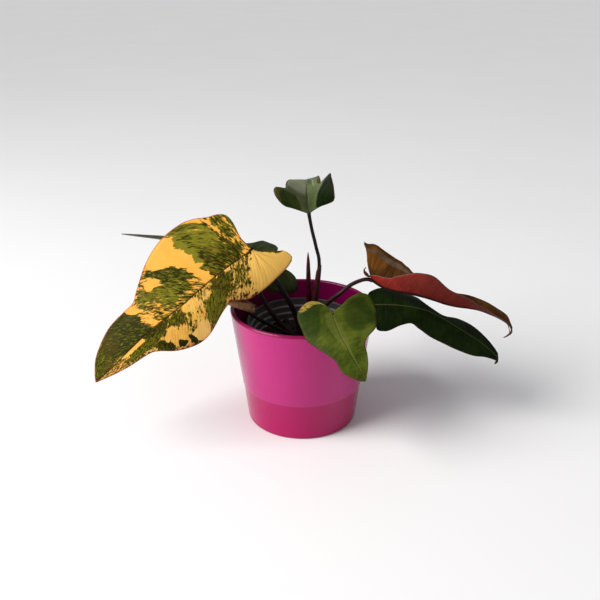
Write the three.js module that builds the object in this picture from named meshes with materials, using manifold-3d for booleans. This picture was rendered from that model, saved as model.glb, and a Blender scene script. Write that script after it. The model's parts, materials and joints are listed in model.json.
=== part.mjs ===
// A strawberry shake philodendron in its inner pot and glazed outer pot.
// Millimetres, +Z up. The origin is the middle of the outer pot's flat underside, -Y is the front.
import * as THREE from "three";
import Module from "manifold-3d";

const wasm = await Module();
wasm.setup();

// Outer pot
const POT_HEIGHT = 127;
const POT_RIM_RADIUS = 75;
const POT_STEP_HEIGHT = 42;
const POT_STEP_RADIUS = 63.8;
const POT_STEP_DEPTH = 0.7;
const POT_BASE_RADIUS = 58.5;
const POT_BASE_ROUNDING = 2.5;
const POT_WALL = 4.6;
const POT_FLOOR = 6;

// Inner pot
const CLEARANCE = 0.35;
const INNER_RIM_RADIUS = 58;
const INNER_RIM_HEIGHT = 111;
const INNER_BASE_RADIUS = 42;
const INNER_WALL = 1.4;
const INNER_RING_DEPTH = 2.2;
const INNER_RING_HEIGHTS = [89, 96, 103];
const DRAIN_RADIUS = 4;
const DRAIN_CIRCLE = 26;
const DRAIN_COUNT = 6;

// Potting mix
const MIX_SURFACE = 88;
const MIX_BUMP = 1.6;

// Crown
const CROWN = [3, 1];
const CROWN_RADIUS = 7.6;
const CROWN_BOTTOM = 58;
const CROWN_TOP = 101;

// Blades and stalks
const BLADE_THICKNESS = 1.0;
const RIB_HEIGHT = 0.9;
const BLADE_COLUMNS = 4;
const STALK_SIDES = 9;
const JOIN_GAP = 0.35;

const material = (color, roughness) => new THREE.MeshStandardMaterial({ color, roughness });
const LOOKS = {
  glaze: material(0xc43c7d, 0.15),
  plastic: material(0x77706c, 0.5),
  soil: material(0x17130f, 0.95),
  crown: material(0x2c1418, 0.6),
  variegated: material(0xc79a3a, 0.4),
  green: material(0x3c5a2a, 0.35),
  dark: material(0x1f3d22, 0.3),
  bronze: material(0x6d3a26, 0.35),
  stalk: material(0x38121c, 0.4),
  sheath: material(0x5a1c26, 0.5),
};

const vec = (p) => new THREE.Vector3(...p);
const radians = THREE.MathUtils.degToRad;

// Closed solids from a geometry and back

function weld(points, triangles) {
  const keys = new Map();
  const vertices = [];
  const place = points.map((p) => {
    const key = [p.x, p.y, p.z].map((c) => Math.round(c * 2000)).join();
    if (!keys.has(key)) {
      keys.set(key, vertices.length);
      vertices.push(p);
    }
    return keys.get(key);
  });
  const kept = [];
  for (const triangle of triangles) {
    const [a, b, c] = triangle.map((i) => place[i]);
    if (a !== b && b !== c && c !== a) kept.push([a, b, c]);
  }
  return { vertices, triangles: kept };
}

function geometryOf({ vertices, triangles }) {
  const geometry = new THREE.BufferGeometry();
  const position = new Float32Array(vertices.flatMap((p) => [p.x, p.y, p.z]));
  geometry.setAttribute("position", new THREE.BufferAttribute(position, 3));
  geometry.setIndex(triangles.flat());
  geometry.computeVertexNormals();
  return geometry;
}

function solidOf(geometry) {
  const position = geometry.getAttribute("position");
  const points = [];
  for (let i = 0; i < position.count; i++) points.push(new THREE.Vector3().fromBufferAttribute(position, i));
  const order = geometry.index ? [...geometry.index.array] : points.map((_, i) => i);
  const triangles = [];
  for (let i = 0; i < order.length; i += 3) triangles.push(order.slice(i, i + 3));
  const welded = weld(points, triangles);
  const mesh = new wasm.Mesh({
    numProp: 3,
    vertProperties: new Float32Array(welded.vertices.flatMap((p) => [p.x, p.y, p.z])),
    triVerts: new Uint32Array(welded.triangles.flat()),
  });
  return new wasm.Manifold(mesh);
}

function geometryFrom(solid) {
  const mesh = solid.getMesh();
  const geometry = new THREE.BufferGeometry();
  const position = new Float32Array(mesh.numVert * 3);
  for (let i = 0; i < mesh.numVert; i++) {
    position.set(mesh.vertProperties.subarray(i * mesh.numProp, i * mesh.numProp + 3), i * 3);
  }
  geometry.setAttribute("position", new THREE.BufferAttribute(position, 3));
  geometry.setIndex([...mesh.triVerts]);
  geometry.computeVertexNormals();
  return geometry;
}

// A profile of [radius, height] pairs turned about the vertical axis
function turned(profile, segments) {
  const points = profile.map(([r, z]) => new THREE.Vector2(r, z));
  return new THREE.LatheGeometry(points, segments).rotateX(Math.PI / 2);
}

// Pots

function outerPot() {
  const slope = (POT_RIM_RADIUS - POT_STEP_RADIUS) / (POT_HEIGHT - POT_STEP_HEIGHT);
  const lip = POT_WALL / 2;
  const inner = POT_RIM_RADIUS - POT_WALL;
  const band = POT_STEP_RADIUS - POT_STEP_DEPTH;
  const floorRadius = POT_BASE_RADIUS - POT_WALL + 0.4;
  const profile = [
    [0, 0],
    [POT_BASE_RADIUS - POT_BASE_ROUNDING, 0],
    [POT_BASE_RADIUS - POT_BASE_ROUNDING * 0.3, POT_BASE_ROUNDING * 0.3],
    [POT_BASE_RADIUS, POT_BASE_ROUNDING],
    [band, POT_STEP_HEIGHT - 0.8],
    [POT_STEP_RADIUS, POT_STEP_HEIGHT],
    [POT_RIM_RADIUS - slope * lip, POT_HEIGHT - lip],
    [POT_RIM_RADIUS - lip * 0.35, POT_HEIGHT - lip * 0.35],
    [POT_RIM_RADIUS - lip, POT_HEIGHT],
    [inner + lip * 0.35, POT_HEIGHT - lip * 0.35],
    [inner, POT_HEIGHT - lip],
    [POT_STEP_RADIUS - POT_WALL, POT_STEP_HEIGHT],
    [floorRadius, POT_FLOOR + 3],
    [floorRadius - 4, POT_FLOOR],
    [0, POT_FLOOR],
  ];
  return turned(profile, 64);
}

const INNER_FOOT = POT_FLOOR + CLEARANCE;

// The inner pot's inside: the wall widens by a small ledge at each ring
function innerWall() {
  const wall = [];
  const rings = INNER_RING_HEIGHTS.length;
  const upper = INNER_RIM_RADIUS - 1.5 - INNER_WALL;
  const lower = upper - rings * INNER_RING_DEPTH;
  wall.push([INNER_BASE_RADIUS - INNER_WALL, INNER_FOOT + INNER_WALL]);
  INNER_RING_HEIGHTS.forEach((height, i) => {
    const radius = lower + i * INNER_RING_DEPTH;
    wall.push([radius, height - 1.2]);
    wall.push([radius + INNER_RING_DEPTH * 0.8, height]);
  });
  wall.push([upper, INNER_RIM_HEIGHT]);
  return wall;
}

function innerPot() {
  const inside = innerWall();
  const outside = inside.slice(0, -1).map(([r, z]) => [r + INNER_WALL, z]);
  outside[0] = [INNER_BASE_RADIUS, INNER_FOOT];
  const rim = [
    [INNER_RIM_RADIUS - 1.5, INNER_RIM_HEIGHT - 2.4],
    [INNER_RIM_RADIUS, INNER_RIM_HEIGHT - 2.4],
    [INNER_RIM_RADIUS, INNER_RIM_HEIGHT - 0.4],
    [INNER_RIM_RADIUS - 0.4, INNER_RIM_HEIGHT],
  ];
  const profile = [[0, INNER_FOOT], ...outside, ...rim, ...inside.reverse(), [0, INNER_FOOT + INNER_WALL]];
  let pot = solidOf(turned(profile, 56));
  for (let i = 0; i < DRAIN_COUNT; i++) {
    const angle = (i / DRAIN_COUNT) * Math.PI * 2;
    const hole = turned([[0, INNER_FOOT - 1], [DRAIN_RADIUS, INNER_FOOT - 1],
      [DRAIN_RADIUS, INNER_FOOT + 3], [0, INNER_FOOT + 3]], 16);
    hole.translate(DRAIN_CIRCLE * Math.cos(angle), DRAIN_CIRCLE * Math.sin(angle), 0);
    pot = pot.subtract(solidOf(hole));
  }
  return geometryFrom(pot);
}

function mixHeight(x, y) {
  const bumps = Math.sin(x * 0.31 + 1) * Math.cos(y * 0.27) + 0.6 * Math.sin(x * 0.13 - y * 0.41 + 2);
  return MIX_SURFACE + MIX_BUMP * bumps;
}

function pottingMix() {
  const segments = 30;
  const rings = 8;
  const edge = INNER_RIM_RADIUS - 1.5 - INNER_WALL - INNER_RING_HEIGHTS.length * INNER_RING_DEPTH - 0.6;
  const foot = INNER_BASE_RADIUS - INNER_WALL - 0.6;
  const bottom = INNER_FOOT + INNER_WALL + CLEARANCE;
  const points = [];
  const triangles = [];
  const ring = (radius, height) => {
    for (let i = 0; i < segments; i++) {
      const x = radius * Math.cos((i / segments) * Math.PI * 2);
      const y = radius * Math.sin((i / segments) * Math.PI * 2);
      points.push(vec([x, y, height === null ? mixHeight(x, y) : height]));
    }
  };
  const topRadius = foot + ((edge - foot) * (MIX_SURFACE - 4 - bottom)) / (INNER_RING_HEIGHTS[0] - 1.2 - bottom);
  points.push(vec([0, 0, mixHeight(0, 0)]));
  for (let k = 1; k <= rings; k++) ring((topRadius * k) / rings, null);
  ring(foot, bottom);
  points.push(vec([0, 0, bottom]));
  const last = points.length - 1;
  for (let i = 0; i < segments; i++) {
    const j = (i + 1) % segments;
    triangles.push([0, 1 + i, 1 + j]);
    for (let k = 0; k < rings; k++) {
      const a = 1 + k * segments;
      const b = a + segments;
      triangles.push([a + i, b + i, b + j], [a + i, b + j, a + j]);
    }
    const foot0 = 1 + rings * segments;
    triangles.push([last, foot0 + j, foot0 + i]);
  }
  const mix = solidOf(geometryOf({ vertices: points, triangles }));
  const hole = turned([[0, CROWN_BOTTOM - CLEARANCE], [CROWN_RADIUS + CLEARANCE, CROWN_BOTTOM - CLEARANCE],
    [CROWN_RADIUS + CLEARANCE, MIX_SURFACE + 12], [0, MIX_SURFACE + 12]], 20);
  return geometryFrom(mix.subtract(solidOf(hole.translate(...CROWN, 0))));
}

function crown() {
  const profile = [
    [0, CROWN_BOTTOM],
    [CROWN_RADIUS - 1.5, CROWN_BOTTOM],
    [CROWN_RADIUS, CROWN_BOTTOM + 4],
    [CROWN_RADIUS, MIX_SURFACE + 1],
    [CROWN_RADIUS * 0.85, CROWN_TOP - 4],
    [CROWN_RADIUS * 0.5, CROWN_TOP - 1],
    [0, CROWN_TOP],
  ];
  return turned(profile, 18).translate(...CROWN, 0);
}

// Stalks: a round section carried along a curve, from one radius to another

function stalk(points, fromRadius, toRadius, steps = 14, pointed = false) {
  const curve = new THREE.CatmullRomCurve3(points.map(vec));
  const geometry = new THREE.CylinderGeometry(1, 1, 1, STALK_SIDES, steps).rotateX(Math.PI / 2);
  const position = geometry.getAttribute("position");
  const frames = curve.computeFrenetFrames(steps, false);
  for (let i = 0; i < position.count; i++) {
    const share = position.getZ(i) + 0.5;
    const step = Math.round(share * steps);
    const fade = pointed ? 1 - share ** 6 : 1;
    const radius = (fromRadius + (toRadius - fromRadius) * share) * fade + (pointed ? 0.25 : 0);
    const centre = curve.getPointAt(step / steps);
    centre.addScaledVector(frames.normals[step], position.getX(i) * radius);
    centre.addScaledVector(frames.binormals[step], position.getY(i) * radius);
    position.setXYZ(i, centre.x, centre.y, centre.z);
  }
  const solid = solidOf(geometry);
  return solid.volume() < 0 ? solidOf(reversed(geometry)) : solid;
}

function reversed(geometry) {
  const order = [...geometry.index.array];
  for (let i = 0; i < order.length; i += 3) [order[i + 1], order[i + 2]] = [order[i + 2], order[i + 1]];
  geometry.setIndex(order);
  return geometry;
}

// Blades

// A curve through 2D or 3D points, the same number of samples between each pair
function smooth(points, samples) {
  const sum = (a, b, s) => a.map((c, i) => c + s * b[i]);
  const first = sum(points[0].map((c) => 2 * c), points[1], -1);
  const last = sum(points.at(-1).map((c) => 2 * c), points.at(-2), -1);
  const all = [first, ...points, last];
  const curve = [];
  for (let i = 1; i < all.length - 2; i++) {
    const [p0, p1, p2, p3] = all.slice(i - 1, i + 3);
    for (let k = 0; k < samples; k++) {
      const t = k / samples;
      curve.push(p1.map((c, j) => 0.5 * (2 * c + (p2[j] - p0[j]) * t
        + (2 * p0[j] - 5 * c + 4 * p2[j] - p3[j]) * t * t
        + (3 * c - p0[j] - 3 * p2[j] + p3[j]) * t * t * t)));
    }
  }
  curve.push(points.at(-1));
  return curve;
}

function lengths(curve) {
  const total = [0];
  for (let i = 1; i < curve.length; i++) {
    total.push(total[i - 1] + Math.hypot(...curve[i].map((c, j) => c - curve[i - 1][j])));
  }
  return total;
}

function pointAt(curve, total, distance) {
  let i = 1;
  while (i < total.length - 1 && total[i] < distance) i++;
  const part = THREE.MathUtils.clamp((distance - total[i - 1]) / (total[i] - total[i - 1]), 0, 1);
  return curve[i - 1].map((c, j) => c + (curve[i][j] - c) * part);
}

// Values spread evenly over a length, read at a share of it
function spread(values, share) {
  const at = THREE.MathUtils.clamp(share, 0, 1) * (values.length - 1);
  const i = Math.min(Math.floor(at), values.length - 2);
  const mix = (a, b) => a + (b - a) * (at - i);
  return Array.isArray(values[0]) ? values[i].map((c, j) => mix(c, values[i + 1][j])) : mix(values[i], values[i + 1]);
}

// Turns a flat blade, x along the midrib and y out from it, into its bent and folded form
function bentBlade(blade) {
  const midrib = smooth(blade.midrib, 24);
  const total = lengths(midrib);
  const length = total.at(-1);
  const inside = (x) => THREE.MathUtils.clamp(x, 0, length);
  const along = (x) => vec(pointAt(midrib, total, inside(x)));
  const place = (x, y, side) => {
    const k = side === "right" ? 1 : 0;
    const sign = side === "right" ? 1 : -1;
    const centre = along(x);
    const tangent = along(inside(x) + 1).sub(along(inside(x) - 1)).normalize();
    const face = vec(spread(blade.face, x / length));
    face.addScaledVector(tangent, -face.dot(tangent)).normalize();
    const back = Math.max(-x, 0);
    const bend = radians(blade.lobeBend[k]) / blade.lobeReach;
    if (back > 0 && bend !== 0) {
      const turn = bend * back;
      centre.addScaledVector(tangent, -Math.sin(turn) / bend).addScaledVector(face, (1 - Math.cos(turn)) / bend);
      const forward = tangent.clone().multiplyScalar(Math.cos(turn)).addScaledVector(face, -Math.sin(turn));
      face.multiplyScalar(Math.cos(turn)).addScaledVector(tangent, Math.sin(turn));
      tangent.copy(forward);
    } else centre.addScaledVector(tangent, -back);
    const across = tangent.clone().cross(face);
    const share = (Math.max(x, -blade.lobeReach) + blade.lobeReach) / (length + blade.lobeReach);
    const fold = radians(spread(blade.fold[k], share));
    const curl = radians(spread(blade.curl[k], share) || 0.01) / blade.halfWidth;
    const turned = fold + curl * y;
    const out = (Math.sin(turned) - Math.sin(fold)) / curl;
    const lift = (Math.cos(fold) - Math.cos(turned)) / curl;
    return centre.addScaledVector(across, sign * out).addScaledVector(face, lift);
  };
  return { length, place };
}

// Flat grid points of one half, row by row from the sinus round the lobe to the tip
function halfRows(blade, side, length) {
  const columns = blade.columns ?? BLADE_COLUMNS;
  const margin = smooth([[0, 0], ...blade[side], [length, 0]], 16);
  const total = lengths(margin);
  const marginAt = (share) => pointAt(margin, total, share * total.at(-1));
  const angleAt = (share) => {
    const [x, y] = marginAt(share);
    return THREE.MathUtils.radToDeg(Math.atan2(Math.max(y, 0), x));
  };
  const shares = Array.from({ length: 240 }, (_, i) => (i + 1) / 300);
  const widest = Math.max(...shares.map(angleAt));
  const first = shares.filter((s) => angleAt(s) > widest - 8).at(-1);
  const limit = Math.min(86, angleAt(first) - 3);
  const leave = shares.find((s) => s > first && angleAt(s) < limit) ?? first + 0.05;
  const fanRows = Math.max(1, Math.round((angleAt(first) - angleAt(leave)) / 15));
  const rows = [];
  const row = (foot, share, sinus) => {
    const [mx, my] = marginAt(share);
    const [cx, cy] = marginAt(first);
    const points = [];
    for (let c = 0; c <= columns; c++) {
      const v = c / columns;
      const [sx, sy] = marginAt(first * v);
      const x = foot + (mx - foot) * v + sinus * (sx - cx * v);
      const y = my * v + sinus * (sy - cy * v);
      points.push([x, c ? Math.max(y, 0.02) : 0]);
    }
    rows.push(points);
  };
  for (let i = 0; i < fanRows; i++) {
    row(0, first + ((leave - first) * i) / fanRows, 1 - i / fanRows);
  }
  for (let i = 0; i < blade.rows; i++) {
    row(length * (i / blade.rows) ** 1.05, leave + ((1 - leave) * i) / blade.rows, 0);
  }
  return rows;
}

function bladeSolid(blade) {
  const { length, place } = bentBlade(blade);
  const columns = blade.columns ?? BLADE_COLUMNS;
  const points = [];
  const rib = [];
  const triangles = [];
  const tip = place(length, 0, "right");
  for (const side of ["left", "right"]) {
    const rows = halfRows(blade, side, length);
    const start = points.length;
    for (const row of rows) {
      row.forEach(([x, y], c) => {
        points.push(place(x, y, side));
        rib.push(c === 0 ? 1 - x / length : 0);
      });
    }
    const width = columns + 1;
    const add = (a, b, c) => triangles.push(side === "right" ? [a, b, c] : [a, c, b]);
    for (let r = 0; r < rows.length - 1; r++) {
      for (let c = 0; c < columns; c++) {
        const a = start + r * width + c;
        add(a, a + 1, a + width);
        add(a + 1, a + width + 1, a + width);
      }
    }
    points.push(tip.clone());
    rib.push(0);
    const lastRow = start + (rows.length - 1) * width;
    for (let c = 0; c < columns; c++) add(lastRow + c, lastRow + c + 1, points.length - 1);
  }
  const sheet = weld(points, triangles);
  const ribAt = sheet.vertices.map((p) => rib[points.findIndex((q) => q.distanceTo(p) < 1e-3)]);
  return thickened(sheet, ribAt);
}

// Both faces of a sheet, offset along its normals, with a wall along its edge
function thickened({ vertices, triangles }, rib) {
  const normals = vertices.map(() => new THREE.Vector3());
  for (const [a, b, c] of triangles) {
    const ab = vertices[b].clone().sub(vertices[a]);
    const ac = vertices[c].clone().sub(vertices[a]);
    const n = ab.cross(ac);
    for (const i of [a, b, c]) normals[i].add(n);
  }
  normals.forEach((n) => n.normalize());
  const half = BLADE_THICKNESS / 2;
  const count = vertices.length;
  const top = vertices.map((p, i) => p.clone().addScaledVector(normals[i], half));
  const under = vertices.map((p, i) => p.clone().addScaledVector(normals[i], -half - RIB_HEIGHT * rib[i]));
  const faces = [];
  const edges = new Map();
  for (const [a, b, c] of triangles) {
    faces.push([a, b, c], [a + count, c + count, b + count]);
    for (const [i, j] of [[a, b], [b, c], [c, a]]) {
      if (edges.has(`${j},${i}`)) edges.delete(`${j},${i}`);
      else edges.set(`${i},${j}`, [i, j]);
    }
  }
  for (const [i, j] of edges.values()) faces.push([j, i, i + count], [j, i + count, j + count]);
  const geometry = geometryOf({ vertices: [...top, ...under], triangles: faces });
  return solidOf(geometry).volume() < 0 ? reversed(geometry) : geometry;
}

// The blades. A midrib runs from the stalk to the tip. Face vectors, folds and curls are spread evenly from
// the lobes to the tip, each with its left and right half. Outlines run from the sinus round to the tip.
const BLADES = {
  blade_left: {
    look: "variegated",
    rows: 19,
    midrib: [[-49, -22, 197], [-85, -40, 175], [-117, -56, 151], [-150, -68, 127], [-182, -74, 97], [-204, -72, 75]],
    face: [[-0.05, -0.85, 0.52], [-0.2, -0.85, 0.45], [-0.35, -0.85, 0.4]],
    lobeBend: [-10, -60],
    lobeReach: 40,
    halfWidth: 55,
    fold: [[-12, -15, -10], [0, 0, 0]],
    curl: [[-40, -45, -30], [-8, -8, -20]],
    left: [[-4, 5], [-11, 10], [-19, 15], [-27, 20], [-31, 30], [-26, 34], [-17, 37], [9, 41], [25, 41], [34, 38],
      [45, 31], [52, 30], [65, 33], [85, 41], [97, 42], [109, 38], [122, 31], [134, 21], [143, 16], [168, 11], [197, 3]],
    right: [[2, 9], [2, 17], [-2, 36], [1, 48], [16, 55], [28, 62], [41, 66], [63, 66], [92, 57], [113, 43],
      [124, 34], [135, 33], [160, 32], [187, 22], [199, 12]],
  },
  blade_rear: {
    look: "dark",
    rows: 14,
    midrib: [[-57, 24, 175], [-80, 27, 180], [-109, 31, 185], [-142, 36, 189], [-168, 39, 190], [-192, 42, 191]],
    face: [[0.1, -0.2, 1], [0, 0.2, 1], [0, 0.25, 0.97], [0, 0.22, 0.97]],
    lobeBend: [-10, -10],
    lobeReach: 50,
    halfWidth: 45,
    fold: [[-45, -10, 0], [24, 0, 0]],
    curl: [[-40, -5, 0], [-70, -10, 0]],
    left: [[-24, 3], [-44, 3], [-56, 7], [-63, 16], [-61, 22], [-52, 28], [-37, 30], [-18, 30], [2, 32], [24, 32],
      [48, 27], [72, 20], [98, 12], [118, 7]],
    right: [[-12, 5], [-24, 12], [-28, 22], [-25, 34], [-17, 46], [-10, 46], [-6, 35], [2, 22], [24, 20], [48, 21],
      [72, 19], [98, 13], [118, 7]],
  },
  blade_top: {
    look: "green",
    rows: 15,
    columns: 7,
    midrib: [[7, 2, 226], [6, 20, 236], [5, 38, 243], [4, 56, 245], [2, 76, 240], [0, 94, 228], [-2, 108, 211],
      [-3, 118, 193]],
    face: [[0, -0.4, 0.9], [0, 0, 1], [0, 0.5, 0.8], [0, 0.9, 0.4]],
    lobeBend: [-10, -10],
    lobeReach: 25,
    halfWidth: 45,
    fold: [[36, 36, 6, -5, -15], [50, 52, 20, -10, -15]],
    curl: [[5, 5, -10, -15, -20], [10, 12, 0, -25, -20]],
    left: [[-1, 6], [-2, 12], [-4, 22], [-6, 30], [-5, 37], [-1, 44], [5, 46], [11, 43], [15, 36], [19, 29], [30, 24],
      [44, 20], [56, 17], [70, 17], [86, 19], [102, 18], [120, 12], [134, 5]],
    right: [[-1, 8], [-4, 18], [-9, 30], [-12, 41], [-6, 44], [2, 45], [14, 42], [28, 34], [28, 25], [28, 18],
      [35, 14], [44, 14], [56, 14], [70, 16], [86, 19], [102, 18], [120, 12], [134, 5]],
  },
  blade_front: {
    look: "green",
    rows: 13,
    midrib: [[29, -64, 148], [34, -77, 137], [40, -90, 129], [48, -104, 119], [54, -113, 112], [59, -118, 103]],
    face: [[0.1, -0.75, 0.65], [0.1, -0.85, 0.5], [0.25, -0.85, 0.5]],
    lobeBend: [0, 0],
    lobeReach: 25,
    halfWidth: 38,
    fold: [[5, 0, 0], [5, 0, 0]],
    curl: [[-10, -10, -10], [-25, -25, -10]],
    left: [[-5, 11], [-10, 19], [-13, 28], [-13, 35], [-10, 40], [-6, 42], [2, 43], [13, 42], [27, 37], [32, 33],
      [36, 26], [40, 20], [45, 16], [54, 14], [63, 10], [72, 4]],
    right: [[-6, 2], [-12, 7], [-16, 13], [-17, 20], [-14, 27], [-9, 33], [-1, 34], [9, 33], [17, 32], [25, 27],
      [32, 23], [40, 19], [47, 16], [55, 16], [63, 15], [70, 10], [75, 5]],
  },
  blade_red: {
    look: "bronze",
    rows: 16,
    midrib: [[70, -10, 162], [83, -11, 153], [96, -12, 149], [112, -12, 146], [130, -12, 141], [153, -12, 133],
      [169, -11, 130], [185, -10, 126], [200, -9, 119], [212, -8, 112], [219, -8, 103], [217, -8, 97], [211, -8, 93]],
    face: [[-0.1, -0.1, 1], [0.1, -0.2, 1], [0.3, -0.6, 0.7]],
    lobeBend: [0, 0],
    lobeReach: 25,
    halfWidth: 38,
    fold: [[50, 50, 25], [60, 62, 40]],
    curl: [[10, 10, 0], [0, 0, 0]],
    left: [[-5, 4], [-11, 10], [-20, 21], [-28, 26], [-22, 27], [-15, 31], [-2, 31], [24, 31], [38, 26], [46, 20],
      [70, 14], [104, 13], [119, 11], [135, 9], [149, 7], [158, 3], [168, 1.2]],
    right: [[-2, 5], [6, 13], [18, 21], [33, 32], [45, 37], [56, 37], [70, 28], [79, 25], [96, 24], [116, 12],
      [140, 6], [156, 3], [168, 1.2]],
  },
  blade_dark: {
    look: "dark",
    rows: 15,
    midrib: [[75, -14, 134], [88, -14, 134], [102, -14, 133], [123, -14, 129], [139, -14, 122], [163, -14, 107],
      [187, -15, 91], [204, -16, 76], [206, -16, 70], [203, -16, 66]],
    face: [[0.1, -0.6, 0.8], [0.2, -0.6, 0.75], [0.45, -0.6, 0.6]],
    lobeBend: [0, 0],
    lobeReach: 25,
    halfWidth: 38,
    fold: [[0, -20, 0], [0, 0, 0]],
    curl: [[-20, -50, -20], [-25, -25, -20]],
    left: [[-6, 7], [-7, 13], [-3, 19], [8, 27], [24, 33], [37, 33], [45, 27], [51, 15], [60, 8], [75, 6], [93, 17],
      [107, 19], [126, 12], [140, 7]],
    right: [[-4, 5], [-1, 10], [0, 18], [1, 27], [9, 29], [16, 27], [29, 21], [39, 18], [49, 22], [67, 25], [85, 24],
      [103, 22], [121, 18], [136, 10]],
  },
  blade_rolled: {
    look: "variegated",
    rows: 8,
    midrib: [[-54, -15, 127], [-64, -13, 130], [-76, -8, 133], [-89, -2, 132]],
    face: [[0, -0.3, 1], [0, -0.3, 1]],
    lobeBend: [0, 0],
    lobeReach: 8,
    halfWidth: 12,
    fold: [[10, 10], [10, 10]],
    curl: [[150, 60], [150, 60]],
    left: [[-3, 3], [-6, 8], [-2, 14], [10, 14], [24, 11], [36, 6]],
    right: [[-3, 3], [-6, 8], [-2, 14], [10, 14], [24, 11], [36, 6]],
  },
};

// Stalks leave the side of the crown at an angle seen from above and end just behind a blade's base
const STALK_START = 92;
const STALKS = {
  petiole_left: {
    angle: 262,
    inset: 0.7,
    from: 2.9,
    to: 2.2,
    path: [[-3, -11, 104], [-7, -11, 122], [-16, -13, 142], [-27, -15, 163], [-39, -17, 184]],
    blade: "blade_left",
  },
  petiole_rear: {
    angle: 194,
    inset: 1.5,
    from: 2.9,
    to: 2.3,
    path: [[-20, 1, 102], [-32, 4, 117], [-45, 12, 136], [-52, 20, 153]],
    blade: "blade_rear",
    drop: 0,
  },
  petiole_top: {
    angle: 45,
    inset: 0.4,
    from: 1.6,
    to: 1.4,
    path: [[12, 6, 112], [13.3, 3, 133], [17.5, 1, 172], [14, 1, 192], [10, 0.5, 209]],
    blade: "blade_top",
    drop: -0.9,
  },
  petiole_front: {
    angle: 296,
    inset: 0.9,
    from: 2.6,
    to: 2.0,
    path: [[10, -22, 116], [15, -38, 135], [22, -53, 145]],
    blade: "blade_front",
    drop: -0.5,
  },
  petiole_red: {
    angle: 2,
    inset: 0.55,
    from: 2.6,
    to: 1.9,
    path: [[18, -2, 115], [25, -7, 131], [39, -12, 146], [50, -11, 155], [62, -10, 160]],
    blade: "blade_red",
    drop: -1.5,
  },
  petiole_dark: {
    angle: 328,
    inset: 1.2,
    from: 2.6,
    to: 1.9,
    path: [[26, -12, 112], [41, -14, 126], [58, -14, 132]],
    blade: "blade_dark",
  },
  petiole_rolled: {
    angle: 228,
    inset: 1.4,
    from: 2.2,
    to: 1.7,
    path: [[-15, -10, 99], [-32, -13, 110], [-46, -15, 119]],
    blade: "blade_rolled",
    drop: -0.5,
  },
  new_leaf: {
    angle: 85,
    inset: 0.0,
    from: 2.0,
    to: 0.9,
    pointed: true,
    path: [[6, 7, 112], [7, 4, 132], [6.6, 2, 160], [6, 1, 186]],
  },
};

function stalkPath({ angle, inset, from, to, path, blade, drop = 0 }) {
  const reach = CROWN_RADIUS + JOIN_GAP + from - inset;
  const start = [CROWN[0] + reach * Math.cos(radians(angle)), CROWN[1] + reach * Math.sin(radians(angle)), STALK_START];
  if (!blade) return [start, ...path];
  const { midrib, face } = BLADES[blade];
  const base = vec(midrib[0]);
  const forward = vec(midrib[1]).sub(base).normalize();
  const up = vec(face[0]);
  up.addScaledVector(forward, -up.dot(forward)).normalize();
  const end = base.addScaledVector(up, -(BLADE_THICKNESS / 2 + RIB_HEIGHT + JOIN_GAP + to + drop));
  return [start, ...path, end.toArray()];
}

// The sheath is a sleeve around the lower part of the top stalk
const SHEATH_SPAN = [0.07, 0.58];
const SHEATH_INSIDE = 2.0;
const SHEATH_RADIUS = 2.9;

function sheath() {
  const stalkCurve = new THREE.CatmullRomCurve3(stalkPath(STALKS.petiole_top).map(vec));
  const [from, to] = SHEATH_SPAN;
  const part = (a, b) => Array.from({ length: 9 }, (_, i) => stalkCurve.getPointAt(a + ((b - a) * i) / 8).toArray());
  const outside = stalk(part(from, to), SHEATH_RADIUS, SHEATH_RADIUS * 0.9, 10);
  return geometryFrom(outside.subtract(stalk(part(from - 0.02, to + 0.02), SHEATH_INSIDE, SHEATH_INSIDE, 16)));
}

const group = new THREE.Group();

function add(name, look, geometry) {
  const mesh = new THREE.Mesh(geometry, LOOKS[look]);
  mesh.name = name;
  group.add(mesh);
}

add("cachepot", "glaze", outerPot());
add("nursery_pot", "plastic", innerPot());
add("potting_mix", "soil", pottingMix());
add("stem", "crown", crown());
for (const [name, blade] of Object.entries(BLADES)) add(name, blade.look, bladeSolid(blade));
for (const [name, s] of Object.entries(STALKS)) {
  add(name, "stalk", geometryFrom(stalk(stalkPath(s), s.from, s.to, 14, s.pointed)));
}
add("sheath", "sheath", sheath());

export default group;
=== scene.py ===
import json
import math
import random
from bisect import bisect_left

import bmesh
import bpy
from mathutils import Matrix, Vector


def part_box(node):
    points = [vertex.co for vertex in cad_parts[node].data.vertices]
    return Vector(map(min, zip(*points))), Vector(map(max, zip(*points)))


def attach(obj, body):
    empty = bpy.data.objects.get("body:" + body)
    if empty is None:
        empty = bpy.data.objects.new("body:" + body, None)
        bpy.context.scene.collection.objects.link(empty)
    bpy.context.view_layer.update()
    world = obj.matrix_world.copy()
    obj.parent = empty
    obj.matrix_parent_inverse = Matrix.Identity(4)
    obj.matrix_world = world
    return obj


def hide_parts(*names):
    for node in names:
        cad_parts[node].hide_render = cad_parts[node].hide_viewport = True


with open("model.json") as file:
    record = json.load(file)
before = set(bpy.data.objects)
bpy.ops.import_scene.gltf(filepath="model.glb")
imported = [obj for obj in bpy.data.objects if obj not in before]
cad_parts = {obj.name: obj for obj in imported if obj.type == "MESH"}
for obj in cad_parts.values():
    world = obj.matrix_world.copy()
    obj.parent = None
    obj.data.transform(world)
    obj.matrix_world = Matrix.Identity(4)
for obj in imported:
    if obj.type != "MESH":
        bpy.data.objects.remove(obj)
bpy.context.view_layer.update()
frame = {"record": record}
MM = 0.001
FLAT_UNIT = 100  # millimetres to one unit of a UV map
EDGE_UNIT = 10
GRAIN_UNIT = 10
CAMERA_PLACE = (0, -0.763, 0.468)
CAMERA_PITCH = 23.7
CAMERA_YAW = 0.16
CAMERA_LENS = 48
FLOOR_SIZE = 40
WORLD_STRENGTH = 0.37
PLANT_MIDDLE = (0, 0, 0.12)


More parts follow.
